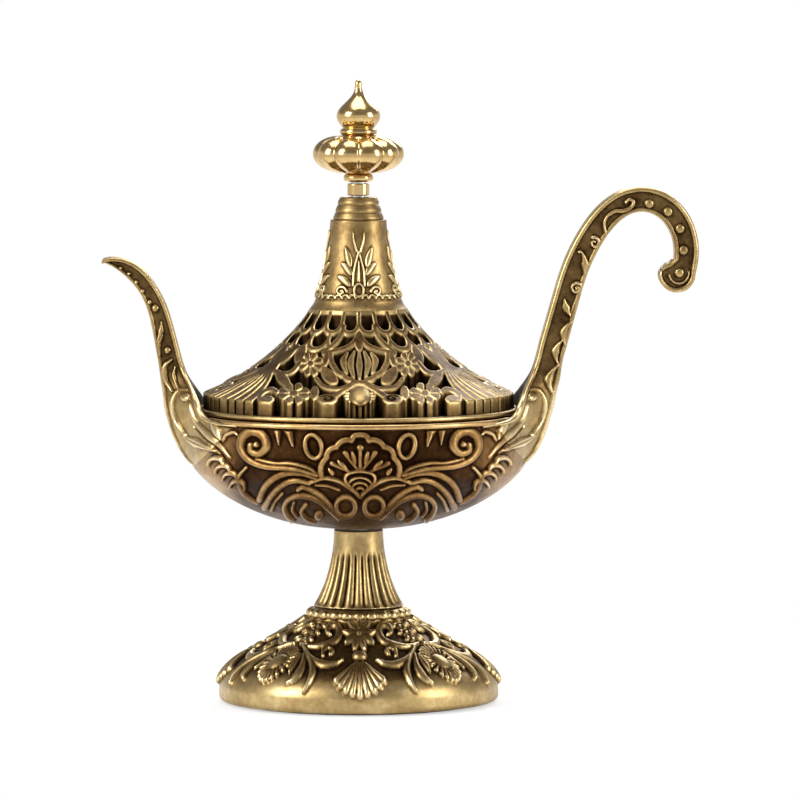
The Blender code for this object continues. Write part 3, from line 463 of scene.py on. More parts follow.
def foot_profile():
    return joined(
        [(ROD_HOLE, FOOT_TOP), (9.0, FOOT_TOP), (9.4, FOOT_TOP - 0.25)],
        bezier((9.4, 18.7), (10.3, 18.4), (10.3, 17.6), FOOT_COLLAR, 12),
        bezier(FOOT_COLLAR, (16.2, 11.8), (27.2, 8.8), (FOOT_RADIUS, 3.4), 80),
        [(FOOT_RADIUS, 1.6)],
        arc((FOOT_RADIUS - 1.0, PAD_PROUD + 1.0), 1.0, 0, -90, 8),
        [(25.4, PAD_PROUD), (25.4, 1.6)],
        bezier((24.0, 1.6), (23.4, 6.4), (14.5, 9.6), (8.8, 14.8), 20),
        [(8.8, 16.6), (ROD_HOLE, 16.6)],
    )


def foot_relief(angle, radius, z):
    """Rosette, cap and shell on each of four sides, with scrolls, berries, leaves and sunflowers between."""
    r = Relief(*seen_from_front(angle, radius, z, 4))
    rosette, shell = np.array((0.0, 12.35)), (0.0, 7.3)
    for i in range(9):
        a = pi / 2 + tau * i / 9
        way = np.array([cos(a), sin(a)])
        r.leaf(rosette + 0.7 * way, rosette + 3.35 * way, 0.75, 0.95)
    r.dome(rosette, 0.8, 1.2)
    r.dome((0.0, 8.25), 0.95, 1.05, stretch=1.65)
    for i in range(5):
        a = radians(12.5 * i)
        way = np.array([sin(a), -cos(a)])
        r.stroke([shell + 0.8 * way, shell + (6.9 - 0.2 * i) * way], [0.2, 0.72], 0.9)
    r.lines(
        0.85,
        (
            (0.3, 0.85, 0.4), (11.6, 10.5), (9.5, 10.0), (7.0, 10.4), (4.75, 11.3), (3.9, 13.0), (4.5, 14.3),
            (5.8, 14.1), (6.3, 13.0), (5.7, 12.5),
        ),
        ((0.4, 0.9, 0.2), (11.0, 10.1), (9.75, 7.9), (7.5, 6.6), (5.0, 6.6), (3.3, 7.4)),
        ((0.4, 0.8, 0.25), (10.75, 9.4), (9.7, 7.1), (9.4, 5.1), (10.2, 2.9), (11.3, 1.1)),
    )
    r.lines(0.8, ((0.4, 0.85, 0.3), (10.9, 8.4), (11.5, 5.9), (13.0, 3.7), (14.4, 2.8)))
    r.lines(
        0.7,
        (0.42, (7.3, 8.3), (7.1, 9.4), (6.1, 9.9), (5.3, 9.3), (5.8, 8.6)),
        ((0.3, 0.6, 0.4), (12.4, 10.6), (14.4, 11.4), (15.2, 13.0), (13.9, 13.6)),
    )
    r.lines(0.65, ((0.3, 0.6, 0.2), (11.6, 8.4), (13.2, 6.6), (14.0, 5.0)))
    for i in range(6):
        for j in range(3 - i % 2):
            side = j - 1 + 0.5 * (i % 2)
            r.dome((7.6 + 0.68 * i + 0.8 * side, 15.0 - 0.66 * i + 0.75 * side), 0.56, 0.8)
    height = np.maximum(r.grid(), sunflowers(angle, radius, z))
    slope = (radius > 10.2) & (z < 17.0) & (z > 3.0)
    return height * slope + drop_beads(angle, radius, z)


def sunflowers(angle, radius, z):
    """An oval flower with rays on each diagonal of the foot, its long way down the slope."""
    length = run_length(np.hstack([radius, z]))
    middle = length[np.argmin(np.abs(radius - 22.6) + 9.0 * (z < 3.0))]
    across = folded(angle + pi / 4, 4) * radius
    r = Relief(across, length[:, None] - middle + 0 * across)
    for i in range(22):
        a = tau * i / 22
        way = np.array([sin(a), cos(a)])
        r.stroke([way * (1.9, 2.7), way * (3.3, 5.2)], [0.25, 0.5], 0.75)
    r.dome((0.0, 0.0), 1.95, 1.1, stretch=1.35, turn=pi / 2, crown=0.4)
    return r.grid()


def drop_beads(angle, radius, z):
    """A row of drops round the foot's collar."""
    across = folded(angle, 24)[None, :] * 9.9
    up = z - 17.8
    return 0.42 * np.sqrt(np.clip(1.0 - across**2 - up**2, 0.0, 1.0)) * (radius < 11.0)


def foot_ground(angle, radius, z):
    """Dark between the leaves, and worn bright round the rim and the collar."""
    rim = smooth_step(radius, 24.6, 2.4)
    collar = smooth_step(z, 16.2, 0.8)
    return FOOT_TONE + FOOT_RIM_TONE * np.maximum(rim, collar) + 0 * angle


def stem_profile():
    side = bezier((4.9, STEM_TOP), (4.98, 28.4), (6.62, 22.95), (9.0, STEM_BASE), 80)
    return joined([(ROD_HOLE, STEM_TOP), (4.6, STEM_TOP)], side, [(ROD_HOLE, STEM_BASE)])


def stem_relief(angle, radius, z):
    """Convex ribs with dark slots between them, plain at the top."""
    share = (z - STEM_BASE) / (STEM_TOP - STEM_BASE)
    rib = np.abs(np.cos(12 * angle))[None, :] ** 0.6
    window = smooth_step(share, 0.0, 0.07) * smooth_step(share, 0.74, -0.12) * (radius > 4.6)
    return -0.7 * (1.0 - rib) * window


# Bowl


def prow_radius(radius, angle, z):
    """The bowl's radius pushed out to a blunt prow where the spout and the handle stand."""
    rise = np.clip((z - BOWL_BASE - PROW_START) / (RIM - BOWL_BASE - PROW_START), 0.0, 1.0)
    reach = radius + PROW_REACH * rise**1.25
    from_axis = np.abs(np.abs(angle - pi) - pi / 2)
    spread = np.arccos(np.clip(radius / reach, -1.0, 1.0))
    lean = np.maximum(0.0, spread - from_axis)
    soft = np.sqrt(lean * lean + 0.01) - 0.1
    return radius / np.cos(np.maximum(soft, 0.0))


def bowl_outer():
    upper = bezier((RIM_RADIUS, RIM - 1.0), (34.6, 52.8), (33.8, 47.8), BOWL_BELLY, 70)
    lower = bezier(BOWL_BELLY, (27.66, 40.45), (17.17, 35.2), (5.6, BOWL_BASE), 90)
    return joined(upper, lower[1:])


def bowl_front(x, seen):
    """Relief of the bowl from the front: x is the distance from the axis and seen the height in view."""
    r = Relief(np.abs(x), seen)
    # scalloped arch in the middle, with drops between ribs inside it
    lobes = [(7.7, 44.3), (6.8, 48.0), (4.8, 50.2), (1.75, 51.5)]
    for low, high in zip(lobes, lobes[1:]):
        r.stroke(bowed(low, high, -0.62), 0.6, 0.75, 0.35)
    r.stroke([(0.0, 45.3), (0.0, 49.6)], [0.5, 0.4], 0.6)
    r.dome((0.0, 50.0), 0.75, 0.65)
    rib = (0.3, 0.4, 0.55)
    r.lines(0.55, (rib, (0.4, 45.6), (1.9, 47.4), (3.0, 49.0)), (rib, (1.6, 45.1), (3.6, 45.9), (5.6, 46.9)))
    r.leaf((1.0, 46.7), (1.6, 49.3), 0.5, 0.65)
    r.leaf((2.7, 45.6), (4.5, 47.5), 0.5, 0.65)
    r.leaf((5.4, 44.6), (6.3, 45.9), 0.42, 0.55)
    # fan of arcs under it, and the pair of rings
    r.lines(0.7, (0.36, (0.0, 40.4), (1.6, 42.0), (3.0, 43.6), (2.3, 44.9), (0.0, 45.4)))
    for radius in (2.9, 1.9, 0.9):
        r.stroke(arc((0.0, 41.2), radius, 38, 90, 8), 0.28, 0.6)
    r.ring((2.85, 38.3), 1.95, 0.5, 0.75)
    # arched leaves that spread from the fan
    r.lines(
        0.75,
        (0.48, (0.1, 40.4), (1.5, 41.7), (4.2, 43.4), (7.2, 44.0), (9.8, 43.2)),
        (0.52, (5.3, 37.9), (7.3, 40.0), (9.2, 41.4), (11.2, 42.2), (12.3, 41.8)),
    )
    r.lines(0.5, (0.26, (4.2, 41.6), (6.4, 42.4), (8.9, 42.6)))
    r.lines(0.65, (0.48, (11.0, 38.5), (11.6, 37.3), (10.6, 35.9), (9.2, 35.3)))
    r.lines(0.55, (0.35, (13.2, 39.0), (13.4, 37.6), (12.6, 36.4)))
    r.dome((10.9, 38.5), 0.55, 0.7)
    r.dome((8.2, 36.5), 0.95, 0.8)
    # top of the arch, loop under the leaves, and wings
    r.lines(
        0.75,
        (0.6, (1.75, 51.5), (1.2, 52.4), (0.0, 52.7)),
        (
            0.55, (4.2, 36.2), (6.2, 38.0), (8.3, 39.6), (11.2, 40.5), (13.8, 40.0), (15.0, 38.6),
            (14.6, 36.9), (13.4, 35.6),
        ),
        ((0.75, 0.7, 0.4), (19.9, 39.9), (18.9, 42.3), (16.9, 44.1), (14.2, 45.0), (11.2, 44.8), (8.9, 44.0)),
        ((0.75, 0.62, 0.4), (18.9, 38.3), (17.4, 40.8), (15.2, 42.8), (12.7, 43.5), (10.0, 43.0)),
        crown=0.35,
    )
    r.lines(0.6, (0.42, (17.6, 37.6), (16.8, 39.4), (15.6, 40.8)))
    # volute and its double tail
    volute = curve(
        (8.5, 44.6), (11.2, 45.4), (13.7, 45.9), (18.7, 46.3), (22.0, 47.6), (23.7, 49.9), (23.4, 52.2),
        (21.4, 53.4), (19.3, 52.4), (18.7, 50.4), (20.0, 48.9), (21.6, 49.3), (21.8, 50.6),
    )
    widths = np.interp(np.linspace(0, 1, len(volute)), (0, 0.35, 0.6, 1), (0.35, 0.7, 1.02, 0.6))
    r.stroke(volute, widths, 0.85, 0.35)
    r.dome((20.7, 50.7), 0.7, 0.85)
    r.lines(0.7, (0.42, (20.6, 47.8), (17.2, 47.0), (13.7, 46.9), (10.2, 46.0), (8.5, 44.8)))
    # spikes and tilted rings under the rim
    r.stroke([(16.6, 54.2), (16.2, 50.7)], [1.05, 0.1], 0.65)
    r.stroke([(14.5, 54.2), (13.4, 50.2)], [1.2, 0.1], 0.65)
    r.ring((9.35, 50.3), 1.6, 0.5, 0.75, stretch=1.5, turn=1.3)
    flank_motifs(r)
    return r.grid()


def flank_motifs(r):
    """Crescents, brackets and leaves on the bowl's flank, under the root of each arm."""
    r.lines(0.6, ((0.15, 0.45, 0.2), (27.3, 51.4), (26.6, 52.7), (25.2, 53.2), (24.4, 52.6)))
    r.leaf((29.2, 55.2), (27.7, 51.6), 0.75, 0.6)
    for i in range(4):
        crescent = arc((28.7 - 1.45 * i, 46.6 - 1.5 * i), 1.5, 0, 190, 12)
        r.stroke(crescent, tapered(crescent, 0.15, 0.6, 0.2), 0.75)
    bracket = (22.7, 46.1), (24.0, 44.6), (24.1, 43.2), (23.2, 41.2), (21.6, 39.8), (20.2, 39.1)
    r.lines(0.7, ((0.3, 0.62, 0.3), *bracket))
    leaf = curve((29.0, 49.4), (31.4, 50.6), (33.4, 51.6), (35.2, 52.6))
    r.stroke(leaf, tapered(leaf, 0.2, 0.95, 0.15), 0.6)
    r.groove(leaf, 0.16, 0.25)
    blade = curve((34.5, 58.4), (33.4, 55.0), (31.0, 52.2), (28.4, 49.6), (26.6, 47.4))
    r.stroke(blade + (-0.75, 0.55), tapered(blade, 0.1, 0.75, 0.1), 0.45)
    r.groove(blade, tapered(blade, 0.1, 0.26, 0.2), 0.4)
    r.lines(0.7, ((0.35, 0.45, 0.2), (34.6, 62.0), (36.4, 61.6), (37.2, 59.2), (36.4, 55.6), (34.4, 52.6)))
    r.dome((34.75, 60.3), 0.95, 1.1)


def to_flank(x):
    """Nought on the bowl's front, one on its flanks."""
    return smooth_step(np.abs(x), 21.0, 8.0)


def flank_wear_and_sheen(x):
    """Tone of the plain surface: dark at the front, and towards the arms rubbed bright, with a painted
    reflection.
    """
    return BOWL_TONE + BOWL_FLANK_SHEEN_TONE * to_flank(x)


def make_bowl():
    """Inside, rim and ornamented outside of the bowl, whose plain outside is sunk a little."""
    outer = resampled(bowl_outer(), 190)
    columns, sunk = 900, 0.25
    angle, normal = angles(columns), outward(outer)
    z = outer[:, 1:] + 0 * angle
    radius = prow_radius(outer[:, :1] + 0 * angle, angle[None, :], z)
    x, y = radius * np.sin(angle), -radius * np.cos(angle)
    across, seen = in_view(x, np.abs(y), z)
    fade = smooth_step(z, RIM - 1.05, -0.3) * smooth_step(outer[:, :1], 6.5, 1.2)
    height = bowl_front(across, seen) * fade - sunk
    stretch = radius / outer[:, :1]
    radius = (outer[:, :1] + normal[:, :1] * height) * stretch
    inside, top = inner_rows(angle), rim_rows(angle)
    rows = np.concatenate([inside, top, round_axis(radius, angle, z + normal[:, 1:] * height)])
    # lighter towards the bottom; the flank's relief gets stronger painted highlight and shade
    ground = flank_wear_and_sheen(x) + 0.14 * smooth_step(seen, 41.0, -5.0)
    values = shade_of(height + sunk, ground, BOWL_CREST_TONE, 0.75 + 0.7 * to_flank(x))
    plain = np.full((len(inside), columns), INSIDE_TONE)
    bead = np.full((len(top), columns), RIM_TONE)
    faces = [grid_faces(len(rows), columns, looped=True)]
    return new_object("bowl_cast", rows.reshape(-1, 3), faces, np.concatenate([plain, bead, values]))


def rim_rows(angle):
    """Rows over the rim: the flat seat, then a bead on its outer edge, which sinks under an arm's root."""
    bead = arc((RIM_RADIUS, RIM - 0.4), 0.55, 90, -60, 12)
    path = joined([(RIM_BORE, RIM)], bead, [(RIM_RADIUS, RIM - 0.92)])
    r, z = (path[:, k : k + 1] + 0 * angle for k in (0, 1))
    out = np.where(r > RIM_BORE, prow_radius(r, angle, z), r)
    sink = 0.9 * smooth_step(np.abs(out * np.sin(angle)), 26.5, 2.5)
    return round_axis(np.where(r > 33.0, out - sink, out), angle, z)


def inner_rows(angle):
    """Rows of the smooth inside, from the floor round the tie rod up to the rim."""
    outer = bowl_outer()
    along = tangents(outer)
    inside = outer + BOWL_WALL * np.stack([along[:, 1], -along[:, 0]], 1)
    inside = inside[(inside[:, 1] > BOWL_FLOOR) & (inside[:, 0] > 6.4)]
    path = joined([(RIM_BORE, RIM)], inside, [(6.4, BOWL_FLOOR), (ROD_HOLE, BOWL_FLOOR)])[::-1]
    path = resampled(path, 40)
    return round_axis(path[:, :1], angle, path[:, 1:])


# Lid


def dome_height(r):
    """Height of the dome's outer face at radius r."""
    top, edge = (DOME_TOP_RADIUS, DOME_TOP), (DOME_EDGE, DOME_EDGE_TOP)
    side = bezier(top, (11.93, 74.94), (20.02, 66.2), edge, 200)
    return np.interp(r, side[:, 0], side[:, 1])


def lid_view(angle, radius):
    """Where points on the dome are in the drawing of the openwork, whose foot is gathered in at the edge."""
    x, seen = seen_from_front(angle, radius, dome_height(radius), LID_SIDES)
    return x, seen - 0.8 * smooth_step(seen, 62.6, -3.7)


def lid_pattern(angle, radius):
    """Distance outside the openwork: the main motif on each side, and fans of ribs between."""
    q = Relief(*lid_view(angle, radius))
    q.lines(
        1.0,
        # tent over the palmette
        (0.46, (0.0, 73.2), (1.2, 71.2), (3.3, 70.0), (7.0, 69.1)),
        (0.46, (3.1, 74.6), (3.4, 73.2), (4.6, 71.4), (7.0, 69.3)),
        # petals of the palmette
        ((0.2, 0.6, 0.25), (0.0, 69.4), (0.0, 66.8), (0.0, 64.2)),
        ((0.2, 0.6, 0.25), (1.0, 69.5), (1.75, 67.2), (1.2, 64.4)),
        ((0.2, 0.6, 0.25), (2.4, 69.2), (3.2, 67.6), (2.6, 65.2)),
        # stalks of the hooked leaf and of the volute
        (0.42, (8.6, 64.0), (7.2, 62.5), (5.0, 61.95), (3.2, 62.2), (1.2, 63.2)),
        ((0.65, 0.5, 0.3), (4.9, 60.2), (3.7, 61.2), (2.2, 62.2), (0.9, 62.9)),
        # spoon and its stalk between the flowers
        (0.45, (11.9, 67.1), (13.4, 65.5), (15.2, 65.1), (17.2, 65.7)),
        ((0.5, 0.95, 0.4), (17.2, 65.8), (16.2, 67.6), (14.2, 68.9), (12.2, 70.6)),
        # hooked arch beyond the lower flower
        (0.5, (19.9, 59.2), (19.9, 60.3), (18.9, 61.4), (17.4, 61.9), (16.6, 61.3)),
    )
    for base, tip, half_width, bend in (
        ((0.0, 72.6), (0.0, 69.6), 0.85, 0.0),
        ((4.7, 63.4), (7.3, 66.4), 1.1, -0.3),
        ((6.3, 69.2), (7.0, 66.4), 0.55, 0.0),
        ((12.5, 67.5), (10.7, 70.6), 0.85, 0.0),
        ((8.9, 62.4), (9.2, 59.2), 0.75, 0.0),
        ((14.2, 62.8), (16.6, 65.4), 0.95, 0.0),
    ):
        q.leaf(base, tip, half_width, 1.0, bend)
    # scalloped border of the palmette
    border = [(5.7, 69.3), (4.9, 66.2), (3.1, 64.8), (1.6, 63.9), (0.0, 63.3)]
    for high, low in zip(border, border[1:]):
        q.stroke(bowed(high, low, 0.35), 0.52, 1.0)
    # button with its ring of petals, volute, and the eye of the hooked arch
    button = (0.0, BUTTON_SEEN)
    q.dome(button, 1.3, 1.0, stretch=1.5)
    for i in range(11):
        a = radians(-202.5 + 22.5 * i)
        way = np.array([cos(a), 0.66 * sin(a)])
        q.stroke([button + 1.9 * way, button + 2.9 * way], [0.24, 0.3], 1.0)
    q.dome(VOLUTE, 1.2, 1.0, stretch=1.65)
    q.dome((18.6, 59.3), 0.95, 1.0, stretch=1.5)
    for centre, wide, tall in FLOWERS:
        q.dome(centre, 0.27 * wide, 1.0)
        for i in range(8):
            a = tau * (i + 0.5) / 8
            way = np.array([wide * cos(a), tall * sin(a)])
            q.stroke([centre + 0.4 * way, centre + 0.76 * way], [0.3, 0.25 * wide], 1.0)
    edge = np.minimum(q.edge - LID_FULLNESS, lid_fan(angle, radius))
    return np.maximum(edge, radius.ravel() - DOME_EDGE)


def lid_fan(angle, radius):
    """Distance outside the ribs set round the axis: arches under the neck, and a fan between motifs."""
    step = tau / LID_ARCHES
    r = Relief(np.abs((angle + step / 2) % step - step / 2) * 11.5, radius)
    r.stroke([(0.0, 9.4), (0.0, 11.8)], [0.55, 0.42], 1.0)
    r.lines(1.0, (0.45, (0.0, 11.4), (0.45, 12.2), (1.1, 12.65), (1.8, 12.8)))
    r.stroke([(0.0, 9.6), (2.0, 9.6)], 0.4, 1.0)
    edge = r.edge
    r = Relief(np.abs(angle % step - step / 2) * 14.0, radius)
    r.stroke([(0.0, 12.6), (0.0, 14.6)], [0.35, 0.5], 1.0)
    r.lines(1.0, (0.5, (0.0, 14.2), (0.6, 15.2), (1.4, 15.7), (2.2, 15.8)))
    aside = np.abs(folded(angle, LID_SIDES)).ravel() > radians(22)
    edge = np.where(aside, np.minimum(edge, r.edge), edge)
    r = Relief(np.abs(folded(angle + pi, LID_SIDES)) * radius, radius)
    r.dome((0.0, 20.6), 1.5, 1.0)
    for i in range(4):
        r.lines(1.0, ((0.45, 0.62, 1.02), (0.35 * i, 20.2), (0.6 + 1.5 * i, 24.8), (0.4 + 2.7 * i, 31.4)))
    r.lines(1.0, (0.55, (0.1, 20.0), (1.6, 18.0), (1.7, 15.6)))
    return np.maximum(np.minimum(edge, r.edge), 9.6 - radius.ravel())


def clipped_grid(edge, columns):
    """Faces of a polar grid, cut along the line where edge is nought; the side where it is negative stays.

    Returns the new points, as (index, index, share) between grid points, the whole quads, the triangles along
    the cut and the border edges.
    """
    quads = grid_faces(len(edge) // columns, columns)
    inside = edge < 0.0
    whole = inside[quads].all(1)
    cut = quads[inside[quads].any(1) & ~whole]
    triangles = np.concatenate([cut[:, [0, 1, 2]], cut[:, [0, 2, 3]]])
    count = inside[triangles].sum(1)
    kept = [tuple(t) for t in triangles[count == 3]]
    crossings = {}
    ends, border = [], []

    def crossing(a, b):
        key = (min(a, b), max(a, b))
        if key not in crossings:
            crossings[key] = len(edge) + len(ends)
            ends.append((key[0], key[1], edge[key[0]] / (edge[key[0]] - edge[key[1]])))
        return crossings[key]

    for triangle in triangles[(count == 1) | (count == 2)]:
        corners = [int(c) for c in triangle]
        while not (inside[corners[0]] and not inside[corners[2]]):
            corners = corners[1:] + corners[:1]
        a, b, c = corners
        if inside[b]:
            p, q = crossing(b, c), crossing(c, a)
            kept += [(a, b, p), (a, p, q)]
        else:
            p, q = crossing(a, b), crossing(c, a)
            kept.append((a, p, q))
        border.append((p, q))
    return ends, quads[whole], np.array(kept), np.array(border)


def make_dome():
    """The pierced dome: a pattern drawn straight down, with flat tops, lips with a painted highlight and
    upright walls.
    """
    columns, rows = 960, 132
    angle = angles(columns)
    radius = np.linspace(9.3, DOME_EDGE + 0.2, rows)[:, None] + 0 * angle
    edge = lid_pattern(angle + 0 * radius, radius)
    flat = np.stack([radius * np.sin(angle), radius * np.cos(angle)], -1).reshape(-1, 2)
    ends, quads, triangles, border = clipped_grid(edge, columns)
    a, b, share = (np.array(part) for part in zip(*ends))
    flat = np.concatenate([flat, flat[a] + share[:, None] * (flat[b] - flat[a])])
    edge = np.concatenate([edge, np.zeros(len(ends))])
    used = np.unique(np.concatenate([quads.ravel(), triangles.ravel()]))
    place = np.full(len(flat), -1)
    place[used] = np.arange(len(used))
    quads, triangles, border = place[quads], place[triangles], place[border]
    flat, edge = flat[used], edge[used]
    r = np.linalg.norm(flat, axis=1)
    cut = lid_cuts(flat)
    top = dome_height(r) - LIP_FALL * (1.0 - smooth_step(-edge / LIP_WIDTH)) + cut
    low = np.maximum(dome_height(r) - LID_WALL, DOME_BASE - 0.3)
    # a painted highlight along each lip, and the cut lines darker, as patina and painted shade
    lip_highlight = 1.0 - np.abs(np.clip((-edge - 0.1) / 0.24, -1.0, 1.0))
    wear_and_painted_light = np.clip(LID_TONE + LIP_HIGHLIGHT_TONE * lip_highlight + 0.9 * cut, 0.0, 1.0)
    # the walls have a row of their own under the lip, with painted shade inside the openings and painted
    # light round the lid's edge, which also lightens the underside there
    count = len(flat)
    wall = np.unique(border)
    ring = np.full(count, -1)
    ring[wall] = 2 * count + np.arange(len(wall))
    lit = smooth_step(r[wall], 25.0, 4.0)
    levels = [top, low, np.maximum(top[wall] - 0.5, low[wall] + 0.05)]
    spots = [flat, flat, flat[wall]]
    vertices = np.concatenate([np.stack([f[:, 0], -f[:, 1], z], -1) for f, z in zip(spots, levels)])
    p, q = border.T
    walls = [np.stack([q, p, ring[p], ring[q]], 1), np.stack([ring[q], ring[p], p + count, q + count], 1)]
    faces = [quads, triangles, quads[:, ::-1] + count, triangles[:, ::-1] + count, *walls]
    under = np.full(count, LID_UNDER_TONE)
    under[wall] += 0.2 * lit
    values = np.concatenate([wear_and_painted_light, under, LID_WALL_SHADE_TONE + 0.38 * lit])
    dome = new_object("lid_openwork", vertices, faces, values)
    dome.data.set_sharp_from_angle(angle=radians(40))
    return dome


def lid_cuts(flat):
    """Lines cut in the tops of the openwork: the curl in each volute."""
    cuts = Relief(*lid_view(np.arctan2(flat[:, 0], flat[:, 1]), np.linalg.norm(flat, axis=1)))
    t = np.linspace(0.0, 1.0, 30)
    turned = 0.7 + tau * 1.1 * t
    reach = 1.35 * (1.0 - 0.8 * t)
    curl = np.stack([VOLUTE[0] + reach * np.cos(turned), VOLUTE[1] + 0.6 * reach * np.sin(turned)], 1)
    cuts.groove(curl, 0.2, 0.5)
    return cuts.height


def make_buttons():
    """A low button in each main motif, long down the slope so that it looks round from the side."""
    around = angles(48)
    fall = np.linspace(0.0, pi, 25)[:, None]
    ring = BUTTON_RADIUS * np.sin(fall).round(9)
    across = ring * np.sin(around)
    down = BUTTON_STRETCH * ring * np.cos(around)
    rise = BUTTON_RISE * np.cos(fall) + 0 * around
    lean = atan((dome_height(BUTTON_CENTRE[0] - 1.0) - dome_height(BUTTON_CENTRE[0] + 1.0)) / 2)
    out = BUTTON_CENTRE[0] + down * cos(lean) + rise * sin(lean)
    z = BUTTON_CENTRE[1] - down * sin(lean) + rise * cos(lean)
    vertices, faces = [], []
    for i in range(LID_SIDES):
        c, s = cos(tau * i / LID_SIDES), sin(tau * i / LID_SIDES)
        faces.append(grid_faces(len(fall), len(around)) + i * z.size)
        vertices.append(np.stack([out * s + across * c, across * s - out * c, z], -1).reshape(-1, 3))
    # the lower half of each button is darker: painted shade where it meets the lid
    wear_and_painted_light = np.tile((BUTTON_TONE - 0.4 * smooth_step(fall, 1.3, 0.5) + 0 * around).ravel(), LID_SIDES)
    return new_object("lid_buttons", np.concatenate(vertices), faces, wear_and_painted_light)


def flange_profile():
    low = FLANGE_BASE - SPIGOT_DEPTH
    return joined(
        [(FLANGE_BORE, FLANGE_TOP), (31.2, FLANGE_TOP)],
        arc((31.7, FLANGE_TOP - 0.5), 0.5, 90, -90, 14),
        [(31.0, FLANGE_BASE), (31.0, low), (29.8, low), (FLANGE_BORE, FLANGE_BASE)],
    )


def flange_tone(angle, radius, z):
    """Painted shadow under the openwork, and rubbed bright round the edge."""
    return FLANGE_SHADOW_TONE + FLANGE_EDGE_TONE * smooth_step(radius, 31.2, 0.5) + 0 * angle


def neck_profile():
    steps = []
    for i in range(3):
        top, out = NECK_TOP - i * 1.53, 0.45 * i
        steps += [(3.6 + 0.5 * i, top), (4.1 + out, top - 0.9)]
        steps += [(4.15 + out, top - 1.35), (3.95 + out, top - 1.5)]
    foot = NECK_BASE - 0.4
    return joined(
        [(STUD_HOLE, NECK_TOP), (3.4, NECK_TOP)],
        steps,
        [(5.55, 96.6)],
        bezier((NECK_WAIST, 96.5), (6.0, 90.3), (7.0, 84.9), (8.6, 81.0), 110),
        [(8.4, 80.85)],
        bezier((8.65, 80.7), (8.8, 80.0), (9.2, 79.4), (9.85, foot), 12),
        [(7.6, foot), (7.2, 81.0), (3.4, 96.0)],
    )


def neck_relief(angle, radius, z):
    """A palmette on each of four sides: a spear over an oval gem, three leaves, a scroll and scallops."""
    r = Relief(*seen_from_front(angle, radius, z, 4))
    r.lines(0.4, (0.22, (1.2, 82.4), (0.95, 85.6), (0.0, 89.2)))
    r.stroke([(0.0, 83.4), (0.0, 87.4)], [0.3, 0.12], 0.3)
    r.ring((0.0, 81.5), 0.95, 0.24, 0.42, stretch=1.35, turn=pi / 2)
    r.leaf((1.6, 86.2), (2.6, 90.2), 0.6, 0.4)
    r.leaf((1.5, 84.6), (3.4, 87.0), 0.6, 0.4, 0.2)
    r.leaf((1.8, 82.4), (4.2, 84.4), 0.65, 0.4, 0.2)
    r.lines(0.3, ((0.25, 0.2, 0.08), (0.4, 89.3), (1.0, 91.4), (1.1, 93.2)))
    r.scroll((3.5, 81.3), 1.05, pi, -1.3, 0.27, 0.4, 0.3)
    for i in range(5):
        r.stroke(arc((1.3 + 1.35 * i, 79.9), 0.62, 0, 180, 8), 0.2, 0.35)
    return r.grid() * ((radius > 5.4) & (z > 81.05) & (np.gradient(z, axis=0) < 0))


# Spout and handle


def arm_path(kind):
    """Middle line of an arm above its root, as distance from the axis and height."""
    if kind == "spout":
        bend, tip = (39.5, 76.5), (51.1, 88.5)
        path = joined(
            bezier(ARM_START, (36.0, 60.5), (bend[0] - 1.4, bend[1] - 5.64), bend, 60),
            bezier(bend, (bend[0] + 1.4, bend[1] + 5.64), (tip[0] - 6.6, tip[1] - 0.3), tip, 60),
        )
    else:
        bend, crest, end = (42.7, 85.2), (56.4, 100.65), (65.4, 89.05)
        path = joined(
            bezier(ARM_START, (36.4, 63.0), (bend[0] - 2.1, bend[1] - 7.5), bend, 60),
            bezier(bend, (bend[0] + 2.86, bend[1] + 7.9), (crest[0] - 6.12, crest[1]), crest, 60),
            bezier(crest, (crest[0] + 5.52, crest[1]), (end[0] + 0.5, end[1] + 6.2), end, 40),
        )
    return path[np.argmax(path[:, 1] > ROOT_OUTER[-1][1] + 3.0) :]


def arm_edges(kind, rows, half_width):
    """Outer and inner edge of an arm, row by row: from the bowl's flank and rim up along its middle line.

    The handle's edges end round its scroll: one goes round the scroll's rim and the other closes its top.
    """
    path = resampled(arm_path(kind), 17)
    along = tangents(path)
    side = np.stack([along[:, 1], -along[:, 0]], 1) * half_width(np.linspace(0.0, 1.0, len(path)))[:, None]
    outer, inner = path + side, path - side
    root = np.array(ROOT_OUTER)
    if kind == "handle":
        root[:, 0] += HANDLE_LEAN * smooth_step(root[:, 1], 57.0, 9.0)
        rim = arc(SCROLL_CENTRE, SCROLL_RADIUS, -2, -194, 10)
        close = resampled(curve(outer[-1], (62.1, 88.3), (61.1, 87.7), rim[-1] + (0.2, 0.3)), len(rim) + 1)
        outer = np.concatenate([outer, close[1:]])
        inner = np.concatenate([inner, rim])
    outer, inner = curve(*root, *outer), curve(*ROOT_INNER, *inner)
    length = run_length((outer + inner) / 2)
    return placed(outer, length, rows), placed(inner, length, rows)


def arm_depth(u, z, outer, own):
    """Half thickness of an arm: the bowl's flank up to the rim, then falling to the arm's own thickness."""
    side = bowl_outer()[::-1]
    radius = np.interp(np.minimum(z, RIM), side[:, 1], side[:, 0])
    climb = outer[: np.argmax(outer[:, 1]) + 1]
    tip = np.maximum(np.interp(z, climb[:, 1], climb[:, 0]), radius + 0.05)
    straight = np.maximum((tip - u) * radius / np.sqrt(tip**2 - radius**2), 0.0)
    flank = np.where(u * tip < radius**2, np.sqrt(np.maximum(radius**2 - u**2, 0.0)), straight)
    blunt = 3.0 * (1.0 - smooth_step(flank / 6.0))
    flank = np.sqrt(flank * (flank + blunt))
    low, high = ROOT_BLEND
    share = smooth_step(z, high, low - high)
    return share * flank + (1.0 - share) * own


